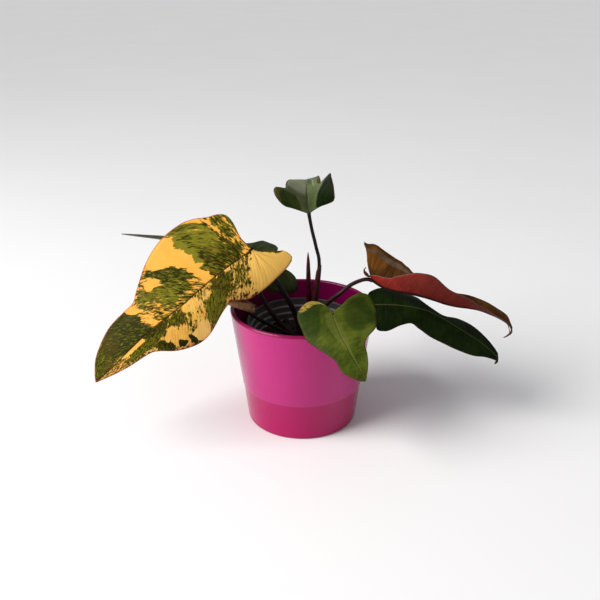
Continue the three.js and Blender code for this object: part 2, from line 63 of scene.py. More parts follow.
def tone(red, green, blue):
    """A colour as seen, 0 to 255, made linear for a shader."""
    return tuple(((c / 255 + 0.055) / 1.055) ** 2.4 if c > 10 else c / 3295
                 for c in (red, green, blue)) + (1,)


# Shader writing


class Wire:
    """A shader socket that sums and products can be written with."""

    def __init__(self, finish, socket):
        self.finish, self.socket = finish, socket

    def __add__(self, other):
        return self.finish.math("ADD", self, other)

    def __sub__(self, other):
        return self.finish.math("SUBTRACT", self, other)

    def __rsub__(self, other):
        return self.finish.math("SUBTRACT", other, self)

    def __mul__(self, other):
        return self.finish.math("MULTIPLY", self, other)

    __radd__ = __add__
    __rmul__ = __mul__


class Finish:
    """A material whose colours, roughness and bumps are written as expressions."""

    def __init__(self, name, **constants):
        self.material = bpy.data.materials.new(name)
        self.material.use_nodes = True
        self.tree = self.material.node_tree
        self.shader = self.tree.nodes["Principled BSDF"]
        for socket, value in constants.items():
            self.shader.inputs[socket.replace("_", " ")].default_value = value

    def node(self, kind, inputs=(), output=0, **settings):
        made = self.tree.nodes.new("ShaderNode" + kind)
        for name, value in settings.items():
            setattr(made, name, value)
        for name, value in dict(inputs).items():
            self.feed(made.inputs[name], value)
        return Wire(self, made.outputs[output])

    def feed(self, socket, value):
        if isinstance(value, Wire):
            self.tree.links.new(value.socket, socket)
        else:
            socket.default_value = value

    def math(self, operation, a, b=0.0):
        return self.node("Math", {0: a, 1: b}, operation=operation)

    def mix(self, a, b, share):
        return self.node("Mix", {0: share, 6: a, 7: b}, output=2, data_type="RGBA")

    def step(self, value, low, high):
        """0 below low and 1 above high, smooth between them."""
        return self.node("MapRange", {0: value, 1: low, 2: high}, interpolation_type="SMOOTHSTEP")

    def noise(self, vector, scale, detail=2.0, roughness=0.5):
        return self.node("TexNoise", {"Vector": vector, "Scale": scale, "Detail": detail,
                                      "Roughness": roughness})

    def vector(self, x, y, z=0.0):
        return self.node("CombineXYZ", {0: x, 1: y, 2: z})

    def stretch(self, vector, scale):
        return self.node("Mapping", {"Vector": vector, "Scale": scale})

    def chart(self, name):
        return self.node("UVMap", uv_map=name)

    def absolute(self, value):
        return self.math("ABSOLUTE", value)

    def off_half(self, value):
        """How far a value is from half-way between two whole numbers, 0 to 0.5."""
        return self.absolute(self.math("FRACT", value) - 0.5)

    def split(self, vector):
        return [Wire(self, part) for part in self.node("SeparateXYZ", {0: vector}).socket.node.outputs]

    def place(self):
        return self.node("TexCoord", output="Object")

    def bump(self, height, depth):
        return self.node("Bump", {"Height": height, "Distance": depth})

    def dress(self, **inputs):
        for socket, value in inputs.items():
            self.feed(self.shader.inputs[socket.replace("_", " ")], value)
        return self.material


# Curves and sheets


def smooth(points, samples):
    """A smooth curve through points of any number of numbers, the same samples between each pair."""
    first = [2 * a - b for a, b in zip(points[0], points[1])]
    last = [2 * a - b for a, b in zip(points[-1], points[-2])]
    knots = [first, *points, last]
    curve = []
    for four in zip(knots, knots[1:], knots[2:], knots[3:]):
        for k in range(samples):
            t = k / samples
            curve.append([0.5 * (2 * b + (c - a) * t + (2 * a - 5 * b + 4 * c - d) * t * t
                                 + (3 * b - a - 3 * c + d) * t ** 3) for a, b, c, d in zip(*four)])
    return curve + [list(points[-1])]


class Path:
    """A smooth line through points, read at a distance along it."""

    def __init__(self, points, samples=24):
        self.points = [Vector(p) for p in smooth(points, samples)]
        self.marks = [0.0]
        for a, b in zip(self.points, self.points[1:]):
            self.marks.append(self.marks[-1] + (b - a).length)
        self.length = self.marks[-1]

    def at(self, distance):
        i = min(max(bisect_left(self.marks, distance), 1), len(self.marks) - 1)
        before, after = self.marks[i - 1], self.marks[i]
        part = min(max((distance - before) / (after - before), 0), 1)
        return self.points[i - 1].lerp(self.points[i], part)

    def heading(self, distance):
        ahead, behind = min(distance + 1, self.length), max(distance - 1, 0)
        return (self.at(ahead) - self.at(behind)).normalized()


class Spread:
    """Values spread evenly over a length, read at a share of it."""

    def __init__(self, values):
        self.single = not isinstance(values[0], (list, tuple))
        self.curve = smooth([[v] for v in values] if self.single else values, 16)

    def __call__(self, share):
        at = min(max(share, 0), 1) * (len(self.curve) - 1)
        i = min(int(at), len(self.curve) - 2)
        value = [a + (b - a) * (at - i) for a, b in zip(self.curve[i], self.curve[i + 1])]
        return value[0] if self.single else Vector(value)


def lay_grid(bm, columns, rows, spot, turn=False):
    """Adds a grid whose corners go to spot(column, row): a place in millimetres, a value for each UV map."""
    made = bmesh.ops.create_grid(bm, x_segments=columns, y_segments=rows, size=0.5)["verts"]
    spots = {}
    for v in made:
        spots[v] = spot(round((v.co.x + 0.5) * columns), round((v.co.y + 0.5) * rows))
        v.co = Vector(spots[v][0]) * MM
    faces = {f for v in made for f in v.link_faces}
    for f in faces:
        for corner in f.loops:
            for name, value in spots[corner.vert][1].items():
                corner[bm.loops.layers.uv[name]].uv = value
    if turn:
        bmesh.ops.reverse_faces(bm, faces=list(faces))


def charted(*charts):
    """An empty mesh with these UV maps."""
    bm = bmesh.new()
    for chart in charts:
        bm.loops.layers.uv.new(chart)
    return bm


def close(bm, gap=1e-6):
    """Joins the doubled corners of seams and poles, and points the faces outwards."""
    bmesh.ops.remove_doubles(bm, verts=bm.verts, dist=gap)
    bmesh.ops.recalc_face_normals(bm, faces=bm.faces)


def stand(name, data):
    """Adds an object with this data to the scene."""
    made = bpy.data.objects.new(name, data)
    bpy.context.scene.collection.objects.link(made)
    return made


def piece(name, bm, *finishes, node=None, slot=None, crease=None):
    """Makes bm an object that rides on the plant, and that stands for a solid if one is named."""
    mesh = bpy.data.meshes.new(name)
    bm.to_mesh(mesh)
    bm.free()
    for f in mesh.polygons:
        f.use_smooth = True
    if crease:
        mesh.set_sharp_from_angle(angle=math.radians(crease))
    made = stand(name, mesh)
    for finish in finishes:
        mesh.materials.append(finish)
    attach(made, "root")
    if node:
        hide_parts(node)
    return made


def thicken(made, thickness, offset, rear=0, rim=0):
    """Gives a sheet its thickness. rear and rim are how many finishes on from the front the others are."""
    shell = made.modifiers.new("thickness", "SOLIDIFY")
    shell.thickness = thickness * MM
    shell.offset = offset
    shell.material_offset = rear
    shell.material_offset_rim = rim


def evenly(count, low=0.0, high=1.0):
    return [low + (high - low) * i / count for i in range(count + 1)]


def frame_slot(node):
    return next(p["material_slot"] for p in frame["record"]["subparts"] if p["node"] == node)


# Blades: the same leaves as the solids, from the same values

# midrib has places from base to tip, and face the way the blade faces along it. left and right are the
# outlines of the halves from the sinus to the tip, as (along the midrib, out from it). fold and curl are
# angles from the lobes to the tip, the left half's and then the right half's. lobe_bend is spread over
# lobe_reach.
BLADES = {
    "blade_left": {
        "rows": 19,
        "midrib": [(-49, -22, 197), (-85, -40, 175), (-117, -56, 151), (-150, -68, 127), (-182, -74, 97),
                   (-204, -72, 75)],
        "face": [(-0.05, -0.85, 0.52), (-0.2, -0.85, 0.45), (-0.35, -0.85, 0.4)],
        "lobe_bend": (-10, -60),
        "lobe_reach": 40,
        "half_width": 55,
        "fold": ((-12, -15, -10), (0, 0, 0)),
        "curl": ((-40, -45, -30), (-8, -8, -20)),
        "left": [(-4, 5), (-11, 10), (-19, 15), (-27, 20), (-31, 30), (-26, 34), (-17, 37), (9, 41), (25, 41),
                 (34, 38), (45, 31), (52, 30), (65, 33), (85, 41), (97, 42), (109, 38), (122, 31), (134, 21),
                 (143, 16), (168, 11), (197, 3)],
        "right": [(2, 9), (2, 17), (-2, 36), (1, 48), (16, 55), (28, 62), (41, 66), (63, 66), (92, 57),
                  (113, 43), (124, 34), (135, 33), (160, 32), (187, 22), (199, 12)],
    },
    "blade_rear": {
        "rows": 14,
        "midrib": [(-57, 24, 175), (-80, 27, 180), (-109, 31, 185), (-142, 36, 189), (-168, 39, 190),
                   (-192, 42, 191)],
        "face": [(0.1, -0.2, 1), (0, 0.2, 1), (0, 0.25, 0.97), (0, 0.22, 0.97)],
        "lobe_bend": (-10, -10),
        "lobe_reach": 50,
        "half_width": 45,
        "fold": ((-45, -10, 0), (24, 0, 0)),
        "curl": ((-40, -5, 0), (-70, -10, 0)),
        "left": [(-24, 3), (-44, 3), (-56, 7), (-63, 16), (-61, 22), (-52, 28), (-37, 30), (-18, 30), (2, 32),
                 (24, 32), (48, 27), (72, 20), (98, 12), (118, 7)],
        "right": [(-12, 5), (-24, 12), (-28, 22), (-25, 34), (-17, 46), (-10, 46), (-6, 35), (2, 22),
                  (24, 20), (48, 21), (72, 19), (98, 13), (118, 7)],
    },
    "blade_top": {
        "rows": 15,
        "midrib": [(7, 2, 226), (6, 20, 236), (5, 38, 243), (4, 56, 245), (2, 76, 240), (0, 94, 228),
                   (-2, 108, 211), (-3, 118, 193)],
        "face": [(0, -0.4, 0.9), (0, 0, 1), (0, 0.5, 0.8), (0, 0.9, 0.4)],
        "lobe_bend": (-10, -10),
        "lobe_reach": 25,
        "half_width": 45,
        "fold": ((36, 36, 6, -5, -15), (50, 52, 20, -10, -15)),
        "curl": ((5, 5, -10, -15, -20), (10, 12, 0, -25, -20)),
        "left": [(-1, 6), (-2, 12), (-4, 22), (-6, 30), (-5, 37), (-1, 44), (5, 46), (11, 43), (15, 36),
                 (19, 29), (30, 24), (44, 20), (56, 17), (70, 17), (86, 19), (102, 18), (120, 12), (134, 5)],
        "right": [(-1, 8), (-4, 18), (-9, 30), (-12, 41), (-6, 44), (2, 45), (14, 42), (28, 34), (28, 25),
                  (28, 18), (35, 14), (44, 14), (56, 14), (70, 16), (86, 19), (102, 18), (120, 12), (134, 5)],
    },
    "blade_front": {
        "rows": 13,
        "midrib": [(29, -64, 148), (34, -77, 137), (40, -90, 129), (48, -104, 119), (54, -113, 112),
                   (59, -118, 103)],
        "face": [(0.1, -0.75, 0.65), (0.1, -0.85, 0.5), (0.25, -0.85, 0.5)],
        "lobe_bend": (0, 0),
        "lobe_reach": 25,
        "half_width": 38,
        "fold": ((5, 0, 0), (5, 0, 0)),
        "curl": ((-10, -10, -10), (-25, -25, -10)),
        "left": [(-5, 11), (-10, 19), (-13, 28), (-13, 35), (-10, 40), (-6, 42), (2, 43), (13, 42), (27, 37),
                 (32, 33), (36, 26), (40, 20), (45, 16), (54, 14), (63, 10), (72, 4)],
        "right": [(-6, 2), (-12, 7), (-16, 13), (-17, 20), (-14, 27), (-9, 33), (-1, 34), (9, 33), (17, 32),
                  (25, 27), (32, 23), (40, 19), (47, 16), (55, 16), (63, 15), (70, 10), (75, 5)],
    },
    "blade_red": {
        "rows": 16,
        "midrib": [(70, -10, 162), (83, -11, 153), (96, -12, 149), (112, -12, 146), (130, -12, 141),
                   (153, -12, 133), (169, -11, 130), (185, -10, 126), (200, -9, 119), (212, -8, 112),
                   (219, -8, 103), (217, -8, 97), (211, -8, 93)],
        "face": [(-0.1, -0.1, 1), (0.1, -0.2, 1), (0.3, -0.6, 0.7)],
        "lobe_bend": (0, 0),
        "lobe_reach": 25,
        "half_width": 38,
        "fold": ((50, 50, 25), (60, 62, 40)),
        "curl": ((10, 10, 0), (0, 0, 0)),
        "left": [(-5, 4), (-11, 10), (-20, 21), (-28, 26), (-22, 27), (-15, 31), (-2, 31), (24, 31), (38, 26),
                 (46, 20), (70, 14), (104, 13), (119, 11), (135, 9), (149, 7), (158, 3), (168, 1.2)],
        "right": [(-2, 5), (6, 13), (18, 21), (33, 32), (45, 37), (56, 37), (70, 28), (79, 25), (96, 24),
                  (116, 12), (140, 6), (156, 3), (168, 1.2)],
    },
    "blade_dark": {
        "rows": 15,
        "midrib": [(75, -14, 134), (88, -14, 134), (102, -14, 133), (123, -14, 129), (139, -14, 122),
                   (163, -14, 107), (187, -15, 91), (204, -16, 76), (206, -16, 70), (203, -16, 66)],
        "face": [(0.1, -0.6, 0.8), (0.2, -0.6, 0.75), (0.45, -0.6, 0.6)],
        "lobe_bend": (0, 0),
        "lobe_reach": 25,
        "half_width": 38,
        "fold": ((0, -20, 0), (0, 0, 0)),
        "curl": ((-20, -50, -20), (-25, -25, -20)),
        "left": [(-6, 7), (-7, 13), (-3, 19), (8, 27), (24, 33), (37, 33), (45, 27), (51, 15), (60, 8),
                 (75, 6), (93, 17), (107, 19), (126, 12), (140, 7)],
        "right": [(-4, 5), (-1, 10), (0, 18), (1, 27), (9, 29), (16, 27), (29, 21), (39, 18), (49, 22),
                  (67, 25), (85, 24), (103, 22), (121, 18), (136, 10)],
    },
    "blade_rolled": {
        "rows": 8,
        "midrib": [(-54, -15, 127), (-64, -13, 130), (-76, -8, 133), (-89, -2, 132)],
        "face": [(0, -0.3, 1), (0, -0.3, 1)],
        "lobe_bend": (0, 0),
        "lobe_reach": 8,
        "half_width": 12,
        "fold": ((10, 10), (10, 10)),
        "curl": ((150, 60), (150, 60)),
        "left": [(-3, 3), (-6, 8), (-2, 14), (10, 14), (24, 11), (36, 6)],
        "right": [(-3, 3), (-6, 8), (-2, 14), (10, 14), (24, 11), (36, 6)],
    },
}
BLADE_THICKNESS = 0.9
BLADE_COLUMNS = 14
ROW_PARTS = 5
BLADE_SEAM = 1e-5
TUBE_SEAM = 2e-6
NO_CURL = 0.01
LEAST_CURL = 1e-7  # radians a millimetre, since place() divides by it
QUILT = 0.3  # how far the blade sinks along its side veins
QUILT_RISE = 4  # full depth is reached a quarter of the way out
QUILT_FALL = 5  # and it fades over the last fifth, to the margin
LOBE_SHARES = [(i + 1) / 300 for i in range(240)]  # of the margin, where the corner of a lobe may be
CORNER_LEEWAY = 8
WIDEST_LEAVING = 86
LEAST_TURN = 3
LEAST_FAN = 0.05
FAN_ANGLE = 15  # between the side veins that fan into a lobe
VEIN_CROWDING = 1.05  # over 1, the side veins leave the midrib closer together near the base
LEAST_OUT = 0.02


class Blade:
    """A flat outline, x along the midrib and y out from it, bent and folded into its place."""

    def __init__(self, leaf):
        self.leaf = leaf
        self.midrib = Path(leaf["midrib"])
        self.length = self.midrib.length
        self.face = Spread(leaf["face"])
        self.fold = [Spread(v) for v in leaf["fold"]]
        self.curl = [Spread(v) for v in leaf["curl"]]

    def axes(self, x, side):
        """The midrib's point, its heading and the blade's facing at x, with the lobes bent back."""
        inside = min(max(x, 0), self.length)
        centre, ahead = self.midrib.at(inside), self.midrib.heading(inside)
        face = self.face(x / self.length)
        face = (face - ahead * face.dot(ahead)).normalized()
        back = max(-x, 0)
        bend = math.radians(self.leaf["lobe_bend"][side]) / self.leaf["lobe_reach"]
        if back and bend:
            turn = bend * back
            centre = centre - ahead * (math.sin(turn) / bend) + face * ((1 - math.cos(turn)) / bend)
            ahead, face = (ahead * math.cos(turn) - face * math.sin(turn),
                           face * math.cos(turn) + ahead * math.sin(turn))
        else:
            centre = centre - ahead * back
        return centre, ahead, face

    def place(self, x, y, side):
        """Where the flat outline's point (x, y) of one half comes to lie, in millimetres."""
        centre, ahead, face = self.axes(x, side)
        reach = self.leaf["lobe_reach"]
        share = (max(x, -reach) + reach) / (self.length + reach)
        fold = math.radians(self.fold[side](share))
        curl = math.radians(self.curl[side](share) or NO_CURL) / self.leaf["half_width"]
        if abs(curl) < LEAST_CURL:
            curl = LEAST_CURL
        turned = fold + curl * y
        out = (math.sin(turned) - math.sin(fold)) / curl
        lift = (math.cos(fold) - math.cos(turned)) / curl
        across = ahead.cross(face) * (1 if side else -1)
        return centre + across * out + face * lift

    def rows(self, side):
        """Rows of (x, y, station, share of the way out) from the sinus round the lobe to the tip."""
        margin = Path([(0, 0), *self.leaf["right" if side else "left"], (self.length, 0)], 16)

        def edge(share):
            return margin.at(share * margin.length)

        def angle(share):
            return math.degrees(math.atan2(max(edge(share).y, 0), edge(share).x))

        widest = max(map(angle, LOBE_SHARES))
        first = [s for s in LOBE_SHARES if angle(s) > widest - CORNER_LEEWAY][-1]
        limit = min(WIDEST_LEAVING, angle(first) - LEAST_TURN)
        leave = next((s for s in LOBE_SHARES if s > first and angle(s) < limit), first + LEAST_FAN)
        fan = max(1, round((angle(first) - angle(leave)) / FAN_ANGLE))
        count = self.leaf["rows"]
        corner = edge(first)
        rows = []
        for k in range((fan + count) * ROW_PARTS):
            station = k / ROW_PARTS
            if station < fan:
                foot, share, sinus = 0, first + (leave - first) * station / fan, 1 - station / fan
            else:
                part = (station - fan) / count
                foot, share, sinus = self.length * part ** VEIN_CROWDING, leave + (1 - leave) * part, 0
            end = edge(share)
            row = []
            for c in range(BLADE_COLUMNS + 1):
                v = c / BLADE_COLUMNS
                spare = edge(first * v) - corner * v
                x = foot + (end.x - foot) * v + sinus * spare.x
                y = end.y * v + sinus * spare.y
                row.append((x, max(y, LEAST_OUT) if c else 0, station, v))
            rows.append(row)
        rows.append([(self.length, 0, fan + count, c / BLADE_COLUMNS) for c in range(BLADE_COLUMNS + 1)])
        return rows


def build_blade(name, upper, under, edge):
    """Both halves of a blade, sunk along the side veins and kept inside the solid's box."""
    blade = Blade(BLADES[name])
    bm = charted("flat", "veins", "edge")
    sunk = bm.verts.layers.float.new("sunk")
    for side in (0, 1):
        rows = blade.rows(side)
        sign = 1 if side else -1

        def spot(c, r):
            x, y, station, v = rows[r][c]
            end, foot = rows[r][-1], rows[r][0]
            to_margin = math.dist((x, y), end[:2])
            to_midrib = math.dist((x, y), foot[:2])
            maps = {"flat": (x / FLAT_UNIT, sign * y / FLAT_UNIT), "veins": (station, sign * v),
                    "edge": (to_margin / EDGE_UNIT, to_midrib / EDGE_UNIT)}
            return blade.place(x, y, side), maps

        lay_grid(bm, BLADE_COLUMNS, len(rows) - 1, spot, turn=not side)
    veins = bm.loops.layers.uv["veins"]
    for v in bm.verts:
        station, share = v.link_loops[0][veins].uv
        share = abs(share)
        window = min(share * QUILT_RISE, 1) * min((1 - share) * QUILT_FALL, 1)
        v[sunk] = QUILT * window * (0.5 + 0.5 * math.cos(2 * math.pi * station)) ** 2
    bmesh.ops.remove_doubles(bm, verts=bm.verts, dist=BLADE_SEAM)
    bm.normal_update()
    low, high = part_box(name)
    skin = BLADE_THICKNESS / 2 * MM
    for v in bm.verts:
        v.co -= v.normal * v[sunk] * MM
        v.co = [min(max(c, a + skin), b - skin) for c, a, b in zip(v.co, low, high)]
    made = piece(name + "_leaf", bm, upper, under, edge, node=name, slot=frame_slot(name))
    thicken(made, BLADE_THICKNESS, 0, rear=1, rim=2)
    return blade


# Tubes: stalks, ribs, the new leaf


def tube(path, radius, sides, spots):
    """A closed skin round a path in millimetres, its radius(share, angle) read at each of the spots."""
    normal = path.heading(0).orthogonal()
    frames = []
    for share in spots:
        at = share * path.length
        ahead = path.heading(at)
        normal = (normal - ahead * normal.dot(ahead)).normalized()
        frames.append((path.at(at), normal, ahead.cross(normal)))

    def spot(c, r):
        angle = 2 * math.pi * (c % sides) / sides
        centre, x, y = frames[r]
        out = radius(spots[r], angle)
        return centre + (x * math.cos(angle) + y * math.sin(angle)) * out, {
            "grain": (c / sides, spots[r] * path.length / GRAIN_UNIT)}

    bm = charted("grain")
    lay_grid(bm, sides, len(spots) - 1, spot)
    close(bm, TUBE_SEAM)
    return bm


CROWN = (3, 1)
CROWN_RADIUS = 7.6
CROWN_BOTTOM = 58
CROWN_TOP = 101
JOIN_GAP = 0.35
STALK_START = 92
STALKS = {
    "petiole_left": {"angle": 262, "inset": 0.7, "radius": (2.9, 2.2), "blade": "blade_left",
                     "path": [(-3, -11, 104), (-7, -11, 122), (-16, -13, 142), (-27, -15, 163),
                              (-39, -17, 184)]},
    "petiole_rear": {"angle": 194, "inset": 1.5, "radius": (2.9, 2.3), "blade": "blade_rear",
                     "path": [(-20, 1, 102), (-32, 4, 117), (-45, 12, 136), (-52, 20, 153)]},
    "petiole_top": {"angle": 45, "inset": 0.4, "radius": (1.6, 1.4), "blade": "blade_top",
                    "path": [(12, 6, 112), (13.3, 3, 133), (17.5, 1, 172), (14, 1, 192), (10, 0.5, 209)]},
    "petiole_front": {"angle": 296, "inset": 0.9, "radius": (2.6, 2.0), "blade": "blade_front",
                      "path": [(10, -22, 116), (15, -38, 135), (22, -53, 145)]},
    "petiole_red": {"angle": 2, "inset": 0.55, "radius": (2.6, 1.9), "blade": "blade_red",
                    "path": [(18, -2, 115), (25, -7, 131), (39, -12, 146), (50, -11, 155), (62, -10, 160)]},
    "petiole_dark": {"angle": 328, "inset": 1.2, "radius": (2.6, 1.9), "blade": "blade_dark",
                     "path": [(26, -12, 112), (41, -14, 126), (58, -14, 132)]},
    "petiole_rolled": {"angle": 228, "inset": 1.4, "radius": (2.2, 1.7), "blade": "blade_rolled",
                       "path": [(-15, -10, 99), (-32, -13, 110), (-46, -15, 119)]},
    "new_leaf": {"angle": 85, "inset": 0, "radius": (2.0, 0.9),
                 "path": [(6, 7, 112), (7, 4, 132), (6.6, 2, 160), (6, 1, 186)]},
}
STALK_SIDES = 24
STALK_ENDS = [0, 0.004, 0.012, 0.025]
STALK_SPOTS = STALK_ENDS + evenly(64, 0.04, 0.96) + [1 - e for e in reversed(STALK_ENDS)]
FOOT_SWELL = (0.2, 7)  # the share it adds to the radius, and the millimetres it reaches along the stalk
HEAD_SWELL = (0.22, 5)
TOP_THICKER = 1.22
HEAD_OVERLAP = 4
HEAD_RISE = 0.6
FURL_STEP = 0.1
FURL_TURNS = 2.2
FURL_WIDTH = (1.4, 0.8)
FURL_TAPER = 9
FURL_POINT = 0.2


def stalk_path(stalk):
    """From beside the crown through the stalk's points and, for a petiole, in under the foot of its blade."""
    reach = CROWN_RADIUS + JOIN_GAP + stalk["radius"][0] - stalk["inset"]
    angle = math.radians(stalk["angle"])
    start = (CROWN[0] + reach * math.cos(angle), CROWN[1] + reach * math.sin(angle), STALK_START)
    points = [start, *stalk["path"]]
    if "blade" in stalk:
        leaf = BLADES[stalk["blade"]]
        base, second = (Vector(p) for p in leaf["midrib"][:2])
        ahead = (second - base).normalized()
        up = Vector(leaf["face"][0])
        up = (up - ahead * up.dot(ahead)).normalized()
        points.append(tuple(base - up * (BLADE_THICKNESS / 2 + stalk["radius"][1])))
        points.append(tuple(base + ahead * HEAD_OVERLAP
                            - up * (BLADE_THICKNESS / 2 + stalk["radius"][1] * HEAD_RISE)))
    return Path(points)


def swelling(swell, distance):
    more, reach = swell
    return more * math.exp(-(distance / reach) ** 2)


def furled_radius(reach, share, angle):
    """A rolled leaf is full below and tapers to its point, with the step of its roll winding round it."""
    step = 1 + FURL_STEP * ((angle / (2 * math.pi) - FURL_TURNS * share) % 1 - 0.5)
    width = FURL_WIDTH[0] * reach + FURL_WIDTH[1] * share
    return (width * (1 - share ** FURL_TAPER) + FURL_POINT) * step * (share < 1)


def build_stalk(name, finish):
    stalk = STALKS[name]
    path = stalk_path(stalk)
    low, high = stalk["radius"]

    def radius(share, angle):
        reach = low + (high - low) * share
        if name == "new_leaf":
            return furled_radius(reach, share, angle)
        if name == "petiole_top":
            reach *= TOP_THICKER
        foot, head = share * path.length, (1 - share) * path.length
        swell = 1 + swelling(HEAD_SWELL, head) + swelling(FOOT_SWELL, foot)
        end = min(share, 1 - share) * path.length
        return reach * swell * math.sqrt(max(1 - max(1 - end / reach, 0) ** 2, 0))

    bm = tube(path, radius, STALK_SIDES, STALK_SPOTS)
    piece(name + "_stalk", bm, finish, node=name, slot=frame_slot(name))


RIB_RADIUS = (1.5, 0.35)
RIB_REACH = 0.95
RIB_DROP = 0.3
RIB_SINK = 0.6  # the share of its radius that it lies lower still
RIB_SIDES = 10
RIB_SPOTS = [0, 0.002] + evenly(60, 0.01, 0.99) + [1]


def build_rib(name, blade, finish):
    """The ridge of the midrib under a blade, thick where the stalk meets it."""

    def thickness(share):
        return RIB_RADIUS[0] + (RIB_RADIUS[1] - RIB_RADIUS[0]) * share

    points = []
    for share in evenly(14, 0.0, RIB_REACH):
        centre, _, face = blade.axes(share * blade.length, 1)
        points.append(centre - face * (RIB_DROP + RIB_SINK * thickness(share)))
    bm = tube(Path(points, 8), lambda share, _: thickness(share) * (0 < share < 1), RIB_SIDES, RIB_SPOTS)
    piece(name + "_rib", bm, finish, slot=frame_slot(name))


SHEATH_SPAN = (0.07, 0.585)
SHEATH_POINT = 0.06
SHEATH_POINT_TURN = 0.9
SHEATH_RADII = Spread((2.4, 2.9, 3.3, 3.2, 2.9, 2.45))
SHEATH_PLEATS = 5
SHEATH_PLEAT_DEPTH = 0.12
SHEATH_TWIST = 2
SHEATH_WALL = 0.4
SHEATH_SIDES = 28
SHEATH_ROWS = 40


def build_sheath(finish):
    """An open sleeve round the low part of the top stalk, drawn out to a point at its front."""
    path = stalk_path(STALKS["petiole_top"])
    low, high = SHEATH_SPAN

    def spot(c, r):
        angle = 2 * math.pi * (c % SHEATH_SIDES) / SHEATH_SIDES
        top = high - SHEATH_POINT * (0.5 - 0.5 * math.cos(angle - SHEATH_POINT_TURN))
        at = path.length * (low + (top - low) * r / SHEATH_ROWS)
        ahead = path.heading(at)
        front = Vector((0, -1, 0))
        x = (front - ahead * front.dot(ahead)).normalized()
        pleat = SHEATH_PLEAT_DEPTH * math.cos(SHEATH_PLEATS * angle + SHEATH_TWIST * r / SHEATH_ROWS)
        out = SHEATH_RADII(r / SHEATH_ROWS) + pleat
        return path.at(at) + (x * math.cos(angle) + ahead.cross(x) * math.sin(angle)) * out, {
            "grain": (c / SHEATH_SIDES, at / GRAIN_UNIT)}

    bm = charted("grain")
    lay_grid(bm, SHEATH_SIDES, SHEATH_ROWS, spot)
    close(bm)
    thicken(piece("sheath_sleeve", bm, finish, node="sheath", slot="sheath"), SHEATH_WALL, -1)


DRY_CURL = [(71, -11, 164), (67, -12, 165), (63.5, -12, 168.5), (62.5, -12.5, 172), (64.5, -12, 174.5)]
DRY_CURL_RADIUS = 0.5
DRY_CURL_BULGE = 1.1
DRY_CURL_PLEATS = 3
DRY_CURL_PLEAT = 0.2


def build_dry_curl(finish):
    """The small dry curl at the base of the folded leaf."""

    def radius(share, angle):
        bulge = math.sin(math.pi * min(share * 1.1, 1)) ** 2
        pleat = 1 + DRY_CURL_PLEAT * math.cos(DRY_CURL_PLEATS * angle)
        return (DRY_CURL_RADIUS + DRY_CURL_BULGE * bulge) * pleat * (0 < share < 1)

    bm = tube(Path(DRY_CURL), radius, 14, [0, 0.01] + evenly(30, 0.03, 0.98) + [1])
    piece("dry_curl", bm, finish, slot="bronze")


# Turned shapes: the two pots, the crown


def arc(centre, radius, low, high, count):
    """Profile points round a rounding, angles in degrees from straight out."""
    return [(centre[0] + radius * math.cos(math.radians(a)), centre[1] + radius * math.sin(math.radians(a)))
            for a in evenly(count, low, high)]


def turned(profile, steps):
    """A profile of (radius, height) in millimetres spun about the upright axis."""
    bm = bmesh.new()
    line = [bm.verts.new((r * MM, 0, z * MM)) for r, z in profile]
    edges = [bm.edges.new(pair) for pair in zip(line, line[1:])]
    bmesh.ops.spin(bm, geom=line + edges, axis=(0, 0, 1), cent=(0, 0, 0), angle=2 * math.pi, steps=steps,
                   use_merge=True)
    close(bm)
    return bm


POT_HEIGHT = 127
POT_RIM_RADIUS = 75
POT_STEP_HEIGHT = 42
POT_STEP_RADIUS = 63.8
POT_STEP_DEPTH = 0.7
POT_BASE_RADIUS = 58.5
POT_BASE_ROUNDING = 2.5
POT_FOOT_HOLLOW = 0.6
POT_FOOT_RING = (9, 7.6)  # in from the edge of the base, where the hollow ends and where the ring is reached
POT_WALL = 4.6
POT_FLOOR = 6
POT_FLOOR_ROUNDING = 4
POT_SIDES = 128
POT_CREASE = 40


def build_cachepot(finish):
    slope = (POT_RIM_RADIUS - POT_STEP_RADIUS) / (POT_HEIGHT - POT_STEP_HEIGHT)
    lip = POT_WALL / 2
    band = POT_STEP_RADIUS - POT_STEP_DEPTH
    inside = POT_BASE_RADIUS - POT_WALL + 0.4 - POT_FLOOR_ROUNDING
    profile = [(0, POT_FOOT_HOLLOW), (POT_BASE_RADIUS - POT_FOOT_RING[0], POT_FOOT_HOLLOW),
               (POT_BASE_RADIUS - POT_FOOT_RING[1], 0)]
    profile += arc((POT_BASE_RADIUS - POT_BASE_ROUNDING, POT_BASE_ROUNDING), POT_BASE_ROUNDING, -90, 0, 6)
    profile += [(band, POT_STEP_HEIGHT - 0.9), (band + 0.12, POT_STEP_HEIGHT - 0.6),
                (POT_STEP_RADIUS - 0.15, POT_STEP_HEIGHT - 0.1), (POT_STEP_RADIUS, POT_STEP_HEIGHT + 0.3)]
    profile += [(POT_RIM_RADIUS - slope * lip, POT_HEIGHT - lip - 1)]
    profile += arc((POT_RIM_RADIUS - lip, POT_HEIGHT - lip), lip, 0, 180, 12)
    profile += [(POT_STEP_RADIUS - POT_WALL, POT_STEP_HEIGHT)]
    profile += arc((inside, POT_FLOOR + POT_FLOOR_ROUNDING), POT_FLOOR_ROUNDING, 0, -90, 6)
    profile += [(0, POT_FLOOR)]
    piece("outer_pot", turned(profile, POT_SIDES), finish, node="cachepot", slot="glaze", crease=POT_CREASE)


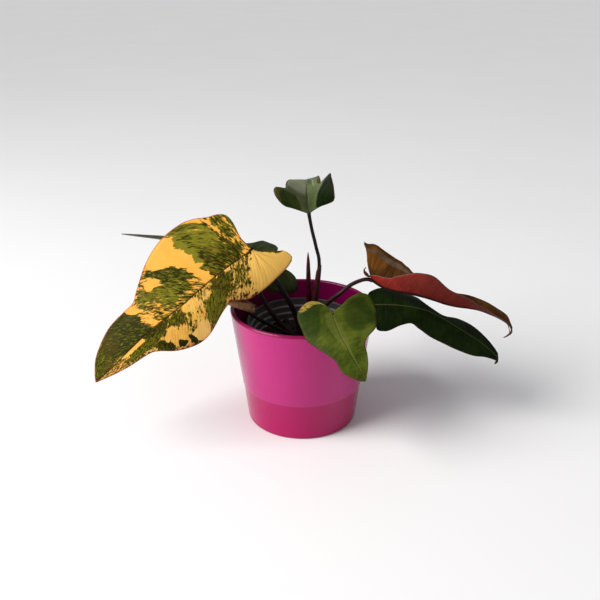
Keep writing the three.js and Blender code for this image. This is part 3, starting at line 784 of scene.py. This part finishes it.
INNER_RIM_RADIUS = 58
INNER_RIM_HEIGHT = 111
INNER_RIM_FOLD = 1.5
INNER_RIM_DEPTH = 2.6
INNER_RIM_ROUNDING = 0.5
INNER_BASE_RADIUS = 42
INNER_WALL = 1.4
INNER_RING_DEPTH = 2.2
INNER_RING_HEIGHTS = (89, 96, 103)
INNER_SIDES = 112
INNER_FOOT = POT_FLOOR + JOIN_GAP
INNER_ABOVE_RINGS = INNER_RIM_RADIUS - INNER_RIM_FOLD - INNER_WALL
INNER_BELOW_RINGS = INNER_ABOVE_RINGS - len(INNER_RING_HEIGHTS) * INNER_RING_DEPTH


def build_nursery_pot(finish):
    inside = [(INNER_BASE_RADIUS - INNER_WALL, INNER_FOOT + INNER_WALL)]
    for i, height in enumerate(INNER_RING_HEIGHTS):
        ledge = INNER_BELOW_RINGS + i * INNER_RING_DEPTH
        inside += [(ledge, height - 1.4), (ledge + 0.1, height - 0.7),
                   (ledge + INNER_RING_DEPTH * 0.72, height - 0.1),
                   (ledge + INNER_RING_DEPTH * 0.85, height + 0.5)]
    outside = [(r + INNER_WALL, z) for r, z in inside]
    outside[0] = (INNER_BASE_RADIUS, INNER_FOOT)
    under = INNER_RIM_HEIGHT - INNER_RIM_DEPTH
    shoulder = INNER_RIM_HEIGHT - INNER_RIM_ROUNDING
    rim = [(INNER_RIM_RADIUS - INNER_RIM_FOLD, under), (INNER_RIM_RADIUS - 0.3, under)]
    rim += arc((INNER_RIM_RADIUS - INNER_RIM_ROUNDING, shoulder), INNER_RIM_ROUNDING, 0, 90, 3)
    rim += [(INNER_ABOVE_RINGS + INNER_RIM_ROUNDING, INNER_RIM_HEIGHT), (INNER_ABOVE_RINGS, shoulder)]
    profile = [(0, INNER_FOOT)] + outside + rim + inside[::-1] + [(0, INNER_FOOT + INNER_WALL)]
    bm = turned(profile, INNER_SIDES)
    piece("inner_pot", bm, finish, node="nursery_pot", slot="plastic", crease=POT_CREASE)


CROWN_ROUNDING = 5
CROWN_CAP = 0.8
CROWN_RING_DEPTH = 0.1
CROWN_RING_TURN = 1.4  # radians a millimetre, so a ring each 4.5 mm


def build_crown(finish):
    """The short woody crown, with a ring for each old leaf."""
    top = arc((0, CROWN_TOP - CROWN_ROUNDING), CROWN_ROUNDING, 0, 90, 5)
    cap = [(r * CROWN_RADIUS * CROWN_CAP / CROWN_ROUNDING, z) for r, z in top]
    side = [(CROWN_RADIUS * (1 - CROWN_RING_DEPTH + CROWN_RING_DEPTH * math.cos(z * CROWN_RING_TURN)), z)
            for z in evenly(24, CROWN_BOTTOM + 2, CROWN_TOP - CROWN_ROUNDING - 1)]
    bm = turned([(0, CROWN_BOTTOM), (CROWN_RADIUS - 1.5, CROWN_BOTTOM), *side, *cap[:-1], (0, CROWN_TOP)], 36)
    for v in bm.verts:
        v.co += Vector((*CROWN, 0)) * MM
    piece("crown_stub", bm, finish, node="stem", slot="crown", crease=50)


# Potting mix

MIX_SURFACE = 88
MIX_BUMP = 1.6
MIX_EDGE = INNER_BELOW_RINGS - 0.1
MIX_FOOT = INNER_BASE_RADIUS - INNER_WALL - 0.6
MIX_BOTTOM = INNER_FOOT + INNER_WALL + JOIN_GAP
MIX_SIDES = 96
MIX_RINGS = 36
CRUMB_KINDS = {  # how many there are, their least and greatest size, and how flat they lie
    "crumbs": (700, (0.6, 1.6), 0.8),
    "bark": (150, (1.2, 3.4), 0.4),
    "pale_grit": (26, (0.6, 1.5), 0.8),
}


def mix_height(x, y):
    bumps = math.sin(x * 0.31 + 1) * math.cos(y * 0.27) + 0.6 * math.sin(x * 0.13 - y * 0.41 + 2)
    return MIX_SURFACE + MIX_BUMP * bumps


def scatter(name, finish, luck):
    """Crumbs of one kind, strewn over the mix but not on the crown."""
    count, sizes, flat = CRUMB_KINDS[name]
    bm = bmesh.new()
    for _ in range(count):
        radius, angle = MIX_EDGE * 0.97 * math.sqrt(luck.random()), luck.uniform(0, 2 * math.pi)
        x, y = radius * math.cos(angle), radius * math.sin(angle)
        if math.hypot(x - CROWN[0], y - CROWN[1]) < CROWN_RADIUS + 2:
            continue
        size = luck.uniform(*sizes)
        place = Matrix.Translation(Vector((x, y, mix_height(x, y) + 0.35 * size)) * MM)
        heading = Matrix.Rotation(luck.uniform(0, 6.3), 4, "Z")
        turn = heading @ Matrix.Rotation(luck.uniform(-0.5, 0.5), 4, "X")
        shape = Matrix.Diagonal((size * MM, size * luck.uniform(0.5, 1) * MM, size * flat * MM, 1))
        made = bmesh.ops.create_icosphere(bm, subdivisions=1, radius=1, matrix=place @ turn @ shape)["verts"]
        for v in made:
            v.co += Vector([luck.uniform(-0.2, 0.2) * size * MM for _ in range(3)])
    piece(name, bm, finish, slot="soil", crease=30)


def build_mix(soil, bark, pale):
    """A bumpy top in rings, then a wall down to the foot of the inner pot and a flat bottom."""
    rings = evenly(MIX_RINGS)
    luck = random.Random(4)
    rough = {}

    def spot(c, r):
        angle = 2 * math.pi * (c % MIX_SIDES) / MIX_SIDES
        if r > MIX_RINGS:
            radius, z = ((MIX_FOOT, MIX_BOTTOM), (0, MIX_BOTTOM))[r - MIX_RINGS - 1]
        else:
            radius = MIX_EDGE * rings[r]
            grain = rough.setdefault((c % MIX_SIDES if r else 0, r), luck.uniform(-0.5, 0.5))
            z = mix_height(radius * math.cos(angle), radius * math.sin(angle)) + grain
        return (radius * math.cos(angle), radius * math.sin(angle), z), {}

    bm = bmesh.new()
    lay_grid(bm, MIX_SIDES, MIX_RINGS + 2, spot)
    close(bm)
    piece("soil", bm, soil, node="potting_mix", slot="soil")
    for name, finish in zip(CRUMB_KINDS, (soil, bark, pale)):
        scatter(name, finish, luck)


# Finishes

VEIN_SPREAD = 4  # a blade's half width counts as this many stations
LEAF_RELIEF = 0.0007
UNDER_RELIEF = 0.0006
STALK_RELIEF = 0.0004
GLAZE_RELIEF = 0.0004
PLASTIC_RELIEF = 0.0002
SOIL_RELIEF = 0.0008
FAR_RIM = (0.75, 1.2)  # where a patch starts to fade and where it ends, in its own half lengths


def patches(f, spot, table):
    """The sum of the table's patches, each an oval that fades at its rim. A patch is its station from the
    lobe to the tip, its share of the way out from the midrib (minus on the left half), half length, half
    width, turn in degrees and strength."""
    total = 0.0
    for station, out, long, wide, turn, strength in table:
        oval = f.node("Mapping", {"Vector": spot, "Location": (station, out * VEIN_SPREAD, 0),
                                  "Rotation": (0, 0, math.radians(turn)),
                                  "Scale": (long, wide * VEIN_SPREAD, 1)}, vector_type="TEXTURE")
        near = f.node("VectorMath", {0: oval}, output="Value", operation="LENGTH")
        total = f.node("MapRange", {0: near, 1: FAR_RIM[0], 2: FAR_RIM[1], 3: strength, 4: 0.0},
                       interpolation_type="SMOOTHSTEP") + total
    return total


def leaf_upper(name, deep, light, zones=(), rays=0.0, midrib=(110, 110, 80), rib=0.8, rough=0.4):
    """One leaf colour in streaks. zones are (deep, light, ragged, soft, patches) painted over it in turn.
    rays and rib are how much of the midrib's colour shows on the side veins and on the midrib."""
    f = Finish(name, IOR=1.45, Specular_IOR_Level=0.05, Coat_Weight=0.02, Coat_Roughness=0.15)
    station, out, _ = f.split(f.chart("veins"))
    margin, inner, _ = f.split(f.chart("edge"))
    flat = f.chart("flat")
    reach = f.absolute(out)
    broad = f.noise(flat, 4.5, 3)
    streaks = f.noise(f.vector(station * 3.2, out * 2.2), 1.6, 3, 0.6)
    fine = f.noise(f.vector(station * 9, out * 8, 4.0), 1.0, 3, 0.65)
    colour = f.mix(tone(*deep), tone(*light), f.step(broad * 0.6 + streaks * 0.4, 0.36, 0.66))
    for zone_deep, zone_light, ragged, soft, table in zones:
        here = f.vector(station + (broad - 0.5) * 1.2, out * VEIN_SPREAD)
        grain = ((streaks - 0.5) * 2.4 + (fine - 0.5) * 3.4) * ragged + 1
        share = f.step(patches(f, here, table) * grain, 0.5 - soft, 0.5 + soft)
        zone = f.mix(tone(*zone_deep), tone(*zone_light), f.step(fine * 0.4 + broad * 0.6, 0.38, 0.62))
        colour = f.mix(colour, zone, share)
    lines = (1 - f.step(f.off_half(station + 0.5), 0.0, 0.07)) * (1 - f.step(reach, 0.2, 0.85))
    thread = 1 - f.step(f.off_half(station * 4.0), 0.0, 0.3)
    colour = f.mix(colour, tone(*midrib), lines * rays)
    ridge = 1 - f.step(inner, 0.03, 0.09)
    colour = f.mix(colour, tone(*midrib), ridge * rib)
    colour = f.mix(colour, tone(60, 36, 24), (1 - f.step(margin, 0.02, 0.09)) * 0.8)
    height = broad * 0.25 - lines * 0.4 - ridge * 0.8 - thread * 0.12 + f.noise(flat, 90, 2) * 0.06
    return f.dress(Base_Color=colour, Roughness=rough + streaks * 0.12, Normal=f.bump(height, LEAF_RELIEF))


# Patches of the variegated blade. Strength over 0 is green and under 0 gold.
GOLD_AND_GREEN = [
    (2.2, -0.62, 2.2, 0.62, 0, -3.4),
    (0.0, -0.40, 0.25, 0.36, 0, 5.0),
    (5.1, -0.36, 0.7, 0.30, 0, 0.5),
    (5.5, -0.82, 0.9, 0.22, 0, -0.5),
    (7.2, -0.36, 1.0, 0.30, 8, 2.4),
    (8.8, -0.66, 1.2, 0.34, 8, 2.6),
    (7.8, -0.12, 1.9, 0.14, 0, 0.2),
    (9.1, -0.24, 0.6, 0.14, 0, -1.0),
    (10.6, -0.50, 0.7, 0.36, 16, -1.0),
    (11.0, -0.84, 0.7, 0.22, 16, -3.4),
    (10.7, -0.12, 0.8, 0.12, 0, -1.4),
    (12.3, -0.16, 0.7, 0.16, 0, 0.9),
    (13.0, -0.58, 1.0, 0.34, 0, -2.4),
    (12.0, -0.80, 0.35, 0.14, 0, 4.2),
    (13.0, -0.80, 0.28, 0.12, 0, 4.0),
    (12.6, -0.34, 0.5, 0.12, 0, 1.6),
    (14.6, -0.78, 0.9, 0.24, 0, 1.8),
    (15.0, -0.30, 0.9, 0.18, 0, 1.2),
    (16.4, -0.52, 1.4, 0.26, 0, 1.9),
    (17.8, -0.74, 1.4, 0.28, 0, 0.5),
    (17.0, -0.10, 1.5, 0.15, 0, -3.4),
    (1.1, 0.70, 1.1, 0.30, 0, 1.5),
    (0.6, 0.60, 0.12, 0.36, 0, -2.2),
    (1.1, 0.40, 0.14, 0.30, 0, -1.6),
    (2.15, 0.84, 0.22, 0.22, 0, -2.4),
    (3.0, 0.94, 0.4, 0.08, 0, -1.6),
    (3.5, 0.62, 1.0, 0.36, 0, 1.2),
    (4.6, 0.92, 0.9, 0.12, 0, 1.2),
    (3.0, 0.20, 1.5, 0.24, 0, 1.6),
    (4.8, 0.42, 0.8, 0.42, 0, 2.4),
    (6.1, 0.12, 0.5, 0.20, 0, -3.2),
    (6.2, 0.50, 0.75, 0.36, -12, -3.2),
    (7.0, 0.88, 1.6, 0.22, 0, -3.4),
    (7.8, 0.56, 0.62, 0.46, -48, 2.4),
    (8.3, 0.32, 0.45, 0.26, -50, 2.0),
    (9.7, 0.74, 0.34, 0.20, -45, -2.4),
    (9.3, 0.12, 1.2, 0.12, 0, 0.4),
    (10.2, 0.50, 0.8, 0.50, -42, 1.1),
    (12.2, 0.25, 0.42, 0.35, -8, -0.9),
    (12.4, 0.84, 0.4, 0.24, -20, -2.4),
    (14.6, 0.50, 2.0, 0.75, 0, 3.0),
    (17.6, 0.50, 1.6, 0.60, 0, 1.8),
    (20.0, 0.40, 1.6, 0.60, 0, 0.8),
]
# Strength over 0 is the deep green and under 0 the light one.
LIGHT_AND_DEEP = [
    (7.2, -0.36, 1.0, 0.30, 8, 0.2),
    (8.8, -0.64, 1.4, 0.36, 8, -0.35),
    (5.2, -0.40, 0.7, 0.36, 0, -0.3),
    (14.6, -0.78, 0.9, 0.24, 0, 0.7),
    (12.6, -0.80, 1.0, 0.20, 0, 1.2),
    (5.3, 0.60, 0.45, 0.30, 0, -1.8),
    (3.5, 0.62, 1.0, 0.36, 0, -0.8),
    (3.4, 0.22, 1.7, 0.28, 0, 0.5),
    (7.8, 0.56, 0.62, 0.46, -48, 0.4),
    (8.3, 0.32, 0.45, 0.26, -50, 0.0),
    (10.2, 0.50, 0.8, 0.50, -42, -0.4),
    (14.6, 0.50, 2.2, 0.75, 0, 0.7),
    (18.2, 0.50, 2.0, 0.60, 0, 0.4),
]
# Strength is the share of cream in the gold.
CREAM = [(11.0, -0.84, 1.0, 0.30, 16, 0.6)]


def variegated_upper(name):
    """Gold and green in flecks that run along the side veins, in large patches, with a thin red margin."""
    f = Finish(name, IOR=1.45, Specular_IOR_Level=0.03, Coat_Roughness=0.2, Coat_Weight=0.01)
    station, out, _ = f.split(f.chart("veins"))
    margin, inner, _ = f.split(f.chart("edge"))
    flat = f.chart("flat")
    reach = f.absolute(out)
    right = f.math("GREATER_THAN", out, 0)
    slant = station - reach * (right * 1.8 + 1.5) * f.step(station, 1.0, 6.0)
    wobble = f.noise(flat, 9, 2) - 0.5
    spot = f.vector(station + wobble * 1.5, out * VEIN_SPREAD)
    coarse = f.noise(f.vector(slant * 1.7, out * 3.2), 1.0, 3, 0.6)
    flecks = f.noise(f.vector(slant * 4.2, out * 7.5, 5.0), 1.0, 3, 0.65)
    fine = f.noise(f.vector(slant * 12, out * 14, 9.0), 1.0, 3, 0.7)
    grain = (coarse - 0.5) * 4.0 + (flecks - 0.5) * 8.0 + (fine - 0.5) * 5.0
    green = f.step(patches(f, spot, GOLD_AND_GREEN) + grain, -0.95, 0.35)
    deep = f.step(patches(f, spot, LIGHT_AND_DEEP) + (flecks - 0.5) * 5.0 + (fine - 0.5) * 6.0, -0.9, 0.7)
    greens = f.mix(tone(116, 110, 28), tone(38, 40, 4), deep)
    greens = f.mix(greens, tone(84, 66, 22), f.step(f.noise(flat, 3.1, 2), 0.5, 0.62) * 0.35)
    golds = f.mix(tone(240, 184, 80), tone(232, 156, 78), f.step(wobble + fine * 0.4, 0.12, 0.4) * 0.7)
    golds = f.mix(golds, tone(230, 146, 96), (1 - f.step(margin, 0.1, 1.1)) * 0.55)
    golds = f.mix(golds, tone(244, 198, 106), f.step(f.noise(flat, 4.4, 1), 0.5, 0.65) * 0.5)
    golds = f.mix(golds, tone(226, 156, 60), right * 0.75)
    # painted light: the gold of the left lobe is lightened, as if lit through the leaf
    lobe = (1 - right) * (1 - f.step(station, 3.6, 6.0))
    golds = f.mix(golds, tone(255, 202, 100), lobe * 0.85)
    golds = f.mix(golds, tone(250, 204, 116), patches(f, spot, CREAM))
    colour = f.mix(golds, greens, green)
    near_lobe = 1 - f.step(station, 3.0, 8.0)
    lines = (1 - f.step(f.off_half(slant + 0.5), 0.0, 0.06)) * (1 - f.step(reach, 0.15, 0.75)) * near_lobe
    colour = f.mix(colour, tone(140, 62, 44), lines * 0.6)
    ridge = 1 - f.step(inner, 0.03, 0.1)
    colour = f.mix(colour, tone(62, 28, 20), ridge * 0.85)
    colour = f.mix(colour, tone(150, 70, 54), (1 - f.step(margin, 0.03, 0.14)) * 0.8)
    thread = 1 - f.step(f.off_half(slant * 4.0), 0.0, 0.3)
    height = coarse * 0.3 - lines * 0.4 - ridge * 0.8 - thread * 0.15 + fine * 0.2
    return f.dress(Base_Color=colour, Roughness=0.4 + flecks * 0.12, Normal=f.bump(height, LEAF_RELIEF))


def leaf_under(name, deep, light, vein, lines_share=0.25, tip=None):
    """The dull underside in streaks, with its side veins showing. tip is its colour beyond the lobes."""
    f = Finish(name, IOR=1.4, Specular_IOR_Level=0.2)
    station, out, _ = f.split(f.chart("veins"))
    flat = f.chart("flat")
    reach = f.absolute(out)
    broad = f.noise(flat, 5.0, 3)
    streaks = f.noise(f.vector(station * 3.0, reach * 1.6), 1.8, 3, 0.6)
    colour = f.mix(tone(*deep), tone(*light), f.step(broad * 0.5 + streaks * 0.5, 0.35, 0.68))
    if tip:
        colour = f.mix(colour, tone(*tip), f.step(station, 3.0, 9.0) * 0.85)
    lines = (1 - f.step(f.off_half(station + 0.5), 0.0, 0.09)) * (1 - f.step(reach, 0.5, 1.0))
    colour = f.mix(colour, tone(*vein), lines * lines_share)
    height = lines * 0.5 + f.noise(flat, 70, 2) * 0.1 + streaks * 0.2
    return f.dress(Base_Color=colour, Roughness=0.5 + broad * 0.1, Normal=f.bump(height, UNDER_RELIEF))


def leaf_edge(name, colour):
    f = Finish(name, Roughness=0.45)
    darker = tone(*[c * 0.65 for c in colour])
    return f.dress(Base_Color=f.mix(tone(*colour), darker, f.noise(f.chart("flat"), 12, 2)))


def stalk_finish(name, deep, light, rough=0.34):
    f = Finish(name, Coat_Roughness=0.2, Coat_Weight=0.05, Specular_IOR_Level=0.15)
    grain = f.chart("grain")
    streaks = f.noise(f.stretch(grain, (9, 0.7, 1)), 1.5, 3, 0.6)
    blush = f.noise(f.stretch(grain, (1, 0.6, 1)), 1.1, 2)
    colour = f.mix(tone(*deep), tone(*light), f.step(streaks * 0.5 + blush * 0.5, 0.36, 0.68))
    pores = f.noise(f.stretch(grain, (8, 6, 1)), 3.5, 2)
    colour = f.mix(colour, tone(*[c * 1.4 + 8 for c in light]), f.step(pores, 0.68, 0.74) * 0.35)
    return f.dress(Base_Color=colour, Roughness=rough + streaks * 0.15,
                   Normal=f.bump(streaks + pores * 0.3, STALK_RELIEF))


# In metres: the heights where the painted shade on the glaze changes, and the middle of the wall as a slope
# and a radius
BAND_FADE = (0.0412, 0.0422)
STEP_SHADOW_LINE = 0.0417
STEP_SHADOW_LINE_FADE = (0.0002, 0.0006)
INSIDE_FLOOR_FADE = (0.004, 0.007)
LIP_SHADE_FADE = (0.1236, 0.1254)
WALL_MIDDLE = (0.1318, 0.0562)
WALL_MIDDLE_FADE = (-0.0008, 0.0006)


def glaze():
    """Magenta, with painted shade: a deeper band below the step, a dark line of painted shadow in the step's
    groove, and a darker inside and lip.
    """
    f = Finish("magenta_glaze", Coat_Weight=0.2, Coat_Roughness=0.08, IOR=1.45, Specular_IOR_Level=0.2)
    place = f.place()
    x, y, z = f.split(place)
    cloud = f.noise(place, 14, 3)
    upper = f.mix(tone(182, 38, 116), tone(170, 30, 104), cloud)
    # painted shade: the band below the step is given a deeper, darker magenta
    lower = f.mix(tone(172, 2, 90), tone(154, 0, 76), cloud)
    colour = f.mix(lower, upper, f.step(z, *BAND_FADE))
    # painted shadow: a dark line in the groove of the step
    line = (1 - f.step(f.absolute(z - STEP_SHADOW_LINE), *STEP_SHADOW_LINE_FADE)) * 0.6
    colour = f.mix(colour, tone(96, 6, 52), line)
    out = f.math("SQRT", x * x + y * y)
    middle = z * WALL_MIDDLE[0] + WALL_MIDDLE[1]
    # painted shade: the inside of the pot, above its floor, is painted darker
    inside = (1 - f.step(out - middle, *WALL_MIDDLE_FADE)) * f.step(z, *INSIDE_FLOOR_FADE)
    # painted shade: the lip is painted darker
    colour = f.mix(colour, tone(128, 8, 66), f.step(z, *LIP_SHADE_FADE))
    colour = f.mix(colour, tone(112, 2, 64), inside)
    speck = f.step(f.noise(place, 420, 1), 0.74, 0.78)
    peel = f.noise(place, 160, 2)
    return f.dress(Base_Color=f.mix(colour, tone(140, 14, 76), speck * 0.35), Roughness=0.2 + cloud * 0.08,
                   Normal=f.bump(peel * 0.5 + cloud * 0.5, GLAZE_RELIEF))


def pot_plastic():
    """Taupe, with painted highlights along its rings, and soil dust on it."""
    f = Finish("taupe_plastic", Specular_IOR_Level=0.3)
    place = f.place()
    z = f.split(place)[2]
    cloud = f.noise(place, 30, 3)
    dust = f.step(f.noise(place, 90, 4, 0.7), 0.55, 0.75)
    colour = f.mix(tone(56, 53, 54), tone(74, 70, 70), cloud)
    for height in INNER_RING_HEIGHTS:
        # painted highlight: a pale line along each ring's ledge, where light catches it
        ledge = 1 - f.step(f.absolute(z - height * MM), 0.0004, 0.0011)
        colour = f.mix(colour, tone(146, 140, 136), ledge * 0.8)
    colour = f.mix(colour, tone(40, 34, 28), dust * 0.5)
    bumps = f.noise(place, 600, 2)
    return f.dress(Base_Color=colour, Roughness=0.46 + dust * 0.3, Normal=f.bump(bumps, PLASTIC_RELIEF))


def crumbly(name, deep, light, rough=0.92):
    f = Finish(name, Roughness=rough)
    place = f.place()
    cloud = f.noise(place, 120, 4, 0.65)
    colour = f.mix(tone(*deep), tone(*light), f.step(cloud, 0.4, 0.7))
    return f.dress(Base_Color=colour, Normal=f.bump(f.noise(place, 900, 3, 0.7) + cloud, SOIL_RELIEF))


# The plant and its pots

build_cachepot(glaze())
build_nursery_pot(pot_plastic())
build_mix(crumbly("soil_dark", (14, 11, 9), (38, 29, 22)), crumbly("bark_brown", (30, 20, 13), (70, 46, 30)),
          crumbly("grit_pale", (150, 140, 125), (205, 198, 185), 0.8))

# What leaf_upper paints over the plainer blades
ZONES = {
    "blade_top": [
        # painted sheen: paler beyond the lobes
        ((116, 120, 94), (132, 134, 110), 0.1, 0.45, [(6.0, -0.3, 2.2, 0.9, 0, 1.0)]),
        # painted shade: darker beside the midrib on the right half
        ((62, 72, 40), (86, 94, 62), 0.1, 0.4, [(3.6, 0.22, 4.2, 0.34, 0, 1.0)]),
        ((2, 8, 0), (18, 30, 5), 0.12, 0.25, [(0.7, 0.85, 2.6, 0.60, 0, 1.0)]),
        ((34, 50, 10), (66, 80, 24), 0.12, 0.25, [(0.8, -0.62, 2.0, 0.42, 0, 1.0)]),
        ((76, 74, 22), (96, 92, 36), 0.1, 0.2, [(0.8, -1.08, 2.6, 0.24, 0, 1.4)]),
    ],
    "blade_front": [
        ((30, 42, 7), (46, 60, 14), 0.15, 0.45, [
            (4.2, 0.70, 3.6, 0.34, 0, 1.0), (3.4, -0.60, 3.4, 0.40, 0, 0.7)]),
        ((76, 82, 28), (92, 96, 40), 0.2, 0.45, [
            (7.4, -0.84, 2.6, 0.20, 0, 0.4), (0.4, 0.0, 1.6, 0.24, 0, 0.8), (7.5, 0.05, 5.0, 0.22, 0, 0.7)]),
        ((110, 96, 36), (160, 134, 62), 1.0, 0.3, [(1.5, 0.88, 2.2, 0.18, 0, 0.8)]),
    ],
    "blade_red": [
        ((96, 58, 20), (116, 72, 26), 0.5, 0.45, [(1.8, -0.60, 1.8, 0.34, 0, 1.0)]),
        # painted sheen: a pale band near the left margin
        ((80, 60, 42), (108, 88, 70), 0.3, 0.45, [(3.8, -0.80, 3.6, 0.085, -2, 1.2)]),
    ],
}
UPPER = {
    "blade_left": variegated_upper("gold_leaf"),
    "blade_rear": leaf_upper("grey_green_leaf", (36, 44, 18), (62, 70, 38)),
    # painted sheen: the top leaf's grey-green stands for the sheen on its blade; its own dark green shows on
    # the lobes
    "blade_top": leaf_upper("top_leaf", (76, 84, 50), (106, 112, 78), ZONES["blade_top"],
                            midrib=(112, 116, 84), rib=0.5),
    "blade_front": leaf_upper("front_leaf", (44, 56, 10), (80, 88, 24), ZONES["blade_front"], rays=0.18,
                              midrib=(96, 100, 46), rib=0.4),
    "blade_red": leaf_upper("bronze_leaf", (64, 34, 12), (98, 62, 28), ZONES["blade_red"],
                            midrib=(110, 70, 50)),
    "blade_dark": leaf_upper("dark_leaf", (9, 19, 1), (22, 36, 6), midrib=(84, 88, 60), rib=0.45, rough=0.5),
    "blade_rolled": leaf_upper("rolled_leaf", (86, 80, 46), (190, 140, 104), midrib=(120, 60, 50)),
}
UNDER = {
    "blade_left": leaf_under("gold_under", (130, 98, 50), (198, 132, 80), (130, 56, 46)),
    "blade_rear": leaf_under("grey_under", (32, 34, 14), (54, 58, 30), (90, 80, 56)),
    "blade_top": leaf_under("olive_under", (60, 70, 34), (96, 98, 56), (100, 76, 56)),
    "blade_front": leaf_under("pale_under", (74, 82, 44), (104, 106, 60), (120, 76, 56)),
    "blade_red": leaf_under("brick_under", (138, 40, 30), (176, 60, 48), (116, 32, 26), 0.12,
                            tip=(84, 24, 18)),
    "blade_dark": leaf_under("dull_under", (56, 46, 30), (82, 68, 44), (96, 48, 38)),
    "blade_rolled": leaf_under("rolled_under", (84, 78, 44), (186, 132, 100), (130, 76, 62)),
}
gold_edge, green_edge = leaf_edge("gold_margin", (150, 78, 58)), leaf_edge("green_margin", (74, 52, 36))
black_stalk = stalk_finish("stalk_black", (9, 2, 3), (24, 8, 9))
red_stalk = stalk_finish("stalk_burgundy", (22, 4, 6), (50, 13, 16))
for name in BLADES:
    edge = gold_edge if name in ("blade_left", "blade_rolled") else green_edge
    build_rib(name, build_blade(name, UPPER[name], UNDER[name], edge), red_stalk)
stalk_finishes = {name: black_stalk for name in ("petiole_left", "petiole_rolled", "petiole_top")}
stalk_finishes["new_leaf"] = stalk_finish("furled_red", (44, 1, 7), (78, 10, 18))
for name in STALKS:
    build_stalk(name, stalk_finishes.get(name, red_stalk))
build_sheath(stalk_finish("sheath_burgundy", (40, 10, 12), (74, 26, 26), 0.45))
build_crown(crumbly("crown_bark", (30, 16, 14), (58, 38, 30)))
build_dry_curl(stalk_finish("dry_tip", (60, 18, 12), (110, 50, 34), 0.5))


# Camera, floor and light

camera = stand("camera", bpy.data.cameras.new("camera"))
camera.data.lens = CAMERA_LENS
camera.location = CAMERA_PLACE
camera.rotation_euler = (math.radians(90 - CAMERA_PITCH), 0, math.radians(CAMERA_YAW))
bpy.context.scene.camera = camera

bm = bmesh.new()
bmesh.ops.create_grid(bm, x_segments=1, y_segments=1, size=FLOOR_SIZE)
mesh = bpy.data.meshes.new("floor")
bm.to_mesh(mesh)
bm.free()
floor = stand("floor", mesh)
pale = Finish("pale_floor", Roughness=0.7)
cloud = pale.noise(pale.place(), 3, 2)
mesh.materials.append(pale.dress(Base_Color=pale.mix(tone(242, 241, 240), tone(238, 236, 234), cloud)))

world = bpy.data.worlds.new("world")
bpy.context.scene.world = world
world.use_nodes = True
world.node_tree.nodes["Background"].inputs["Color"].default_value = tone(236, 238, 244)
world.node_tree.nodes["Background"].inputs["Strength"].default_value = WORLD_STRENGTH


def light(name, kind, place, power, **settings):
    """A light that stands at a place and points at the middle of the plant."""
    made = stand(name, bpy.data.lights.new(name, kind))
    made.data.energy = power
    for key, value in settings.items():
        setattr(made.data, key, value)
    made.location = place
    made.rotation_euler = (Vector(PLANT_MIDDLE) - Vector(place)).to_track_quat("-Z", "Y").to_euler()


light("daylight", "SUN", (-0.8, -0.35, 0.75), 2.35, angle=math.radians(40))
light("key", "AREA", (-1.3, -0.5, 1.2), 22, size=1.1)
light("fill", "AREA", (1.4, -0.9, 0.9), 1.2, size=1.2)
bpy.context.scene.view_settings.view_transform = "Standard"
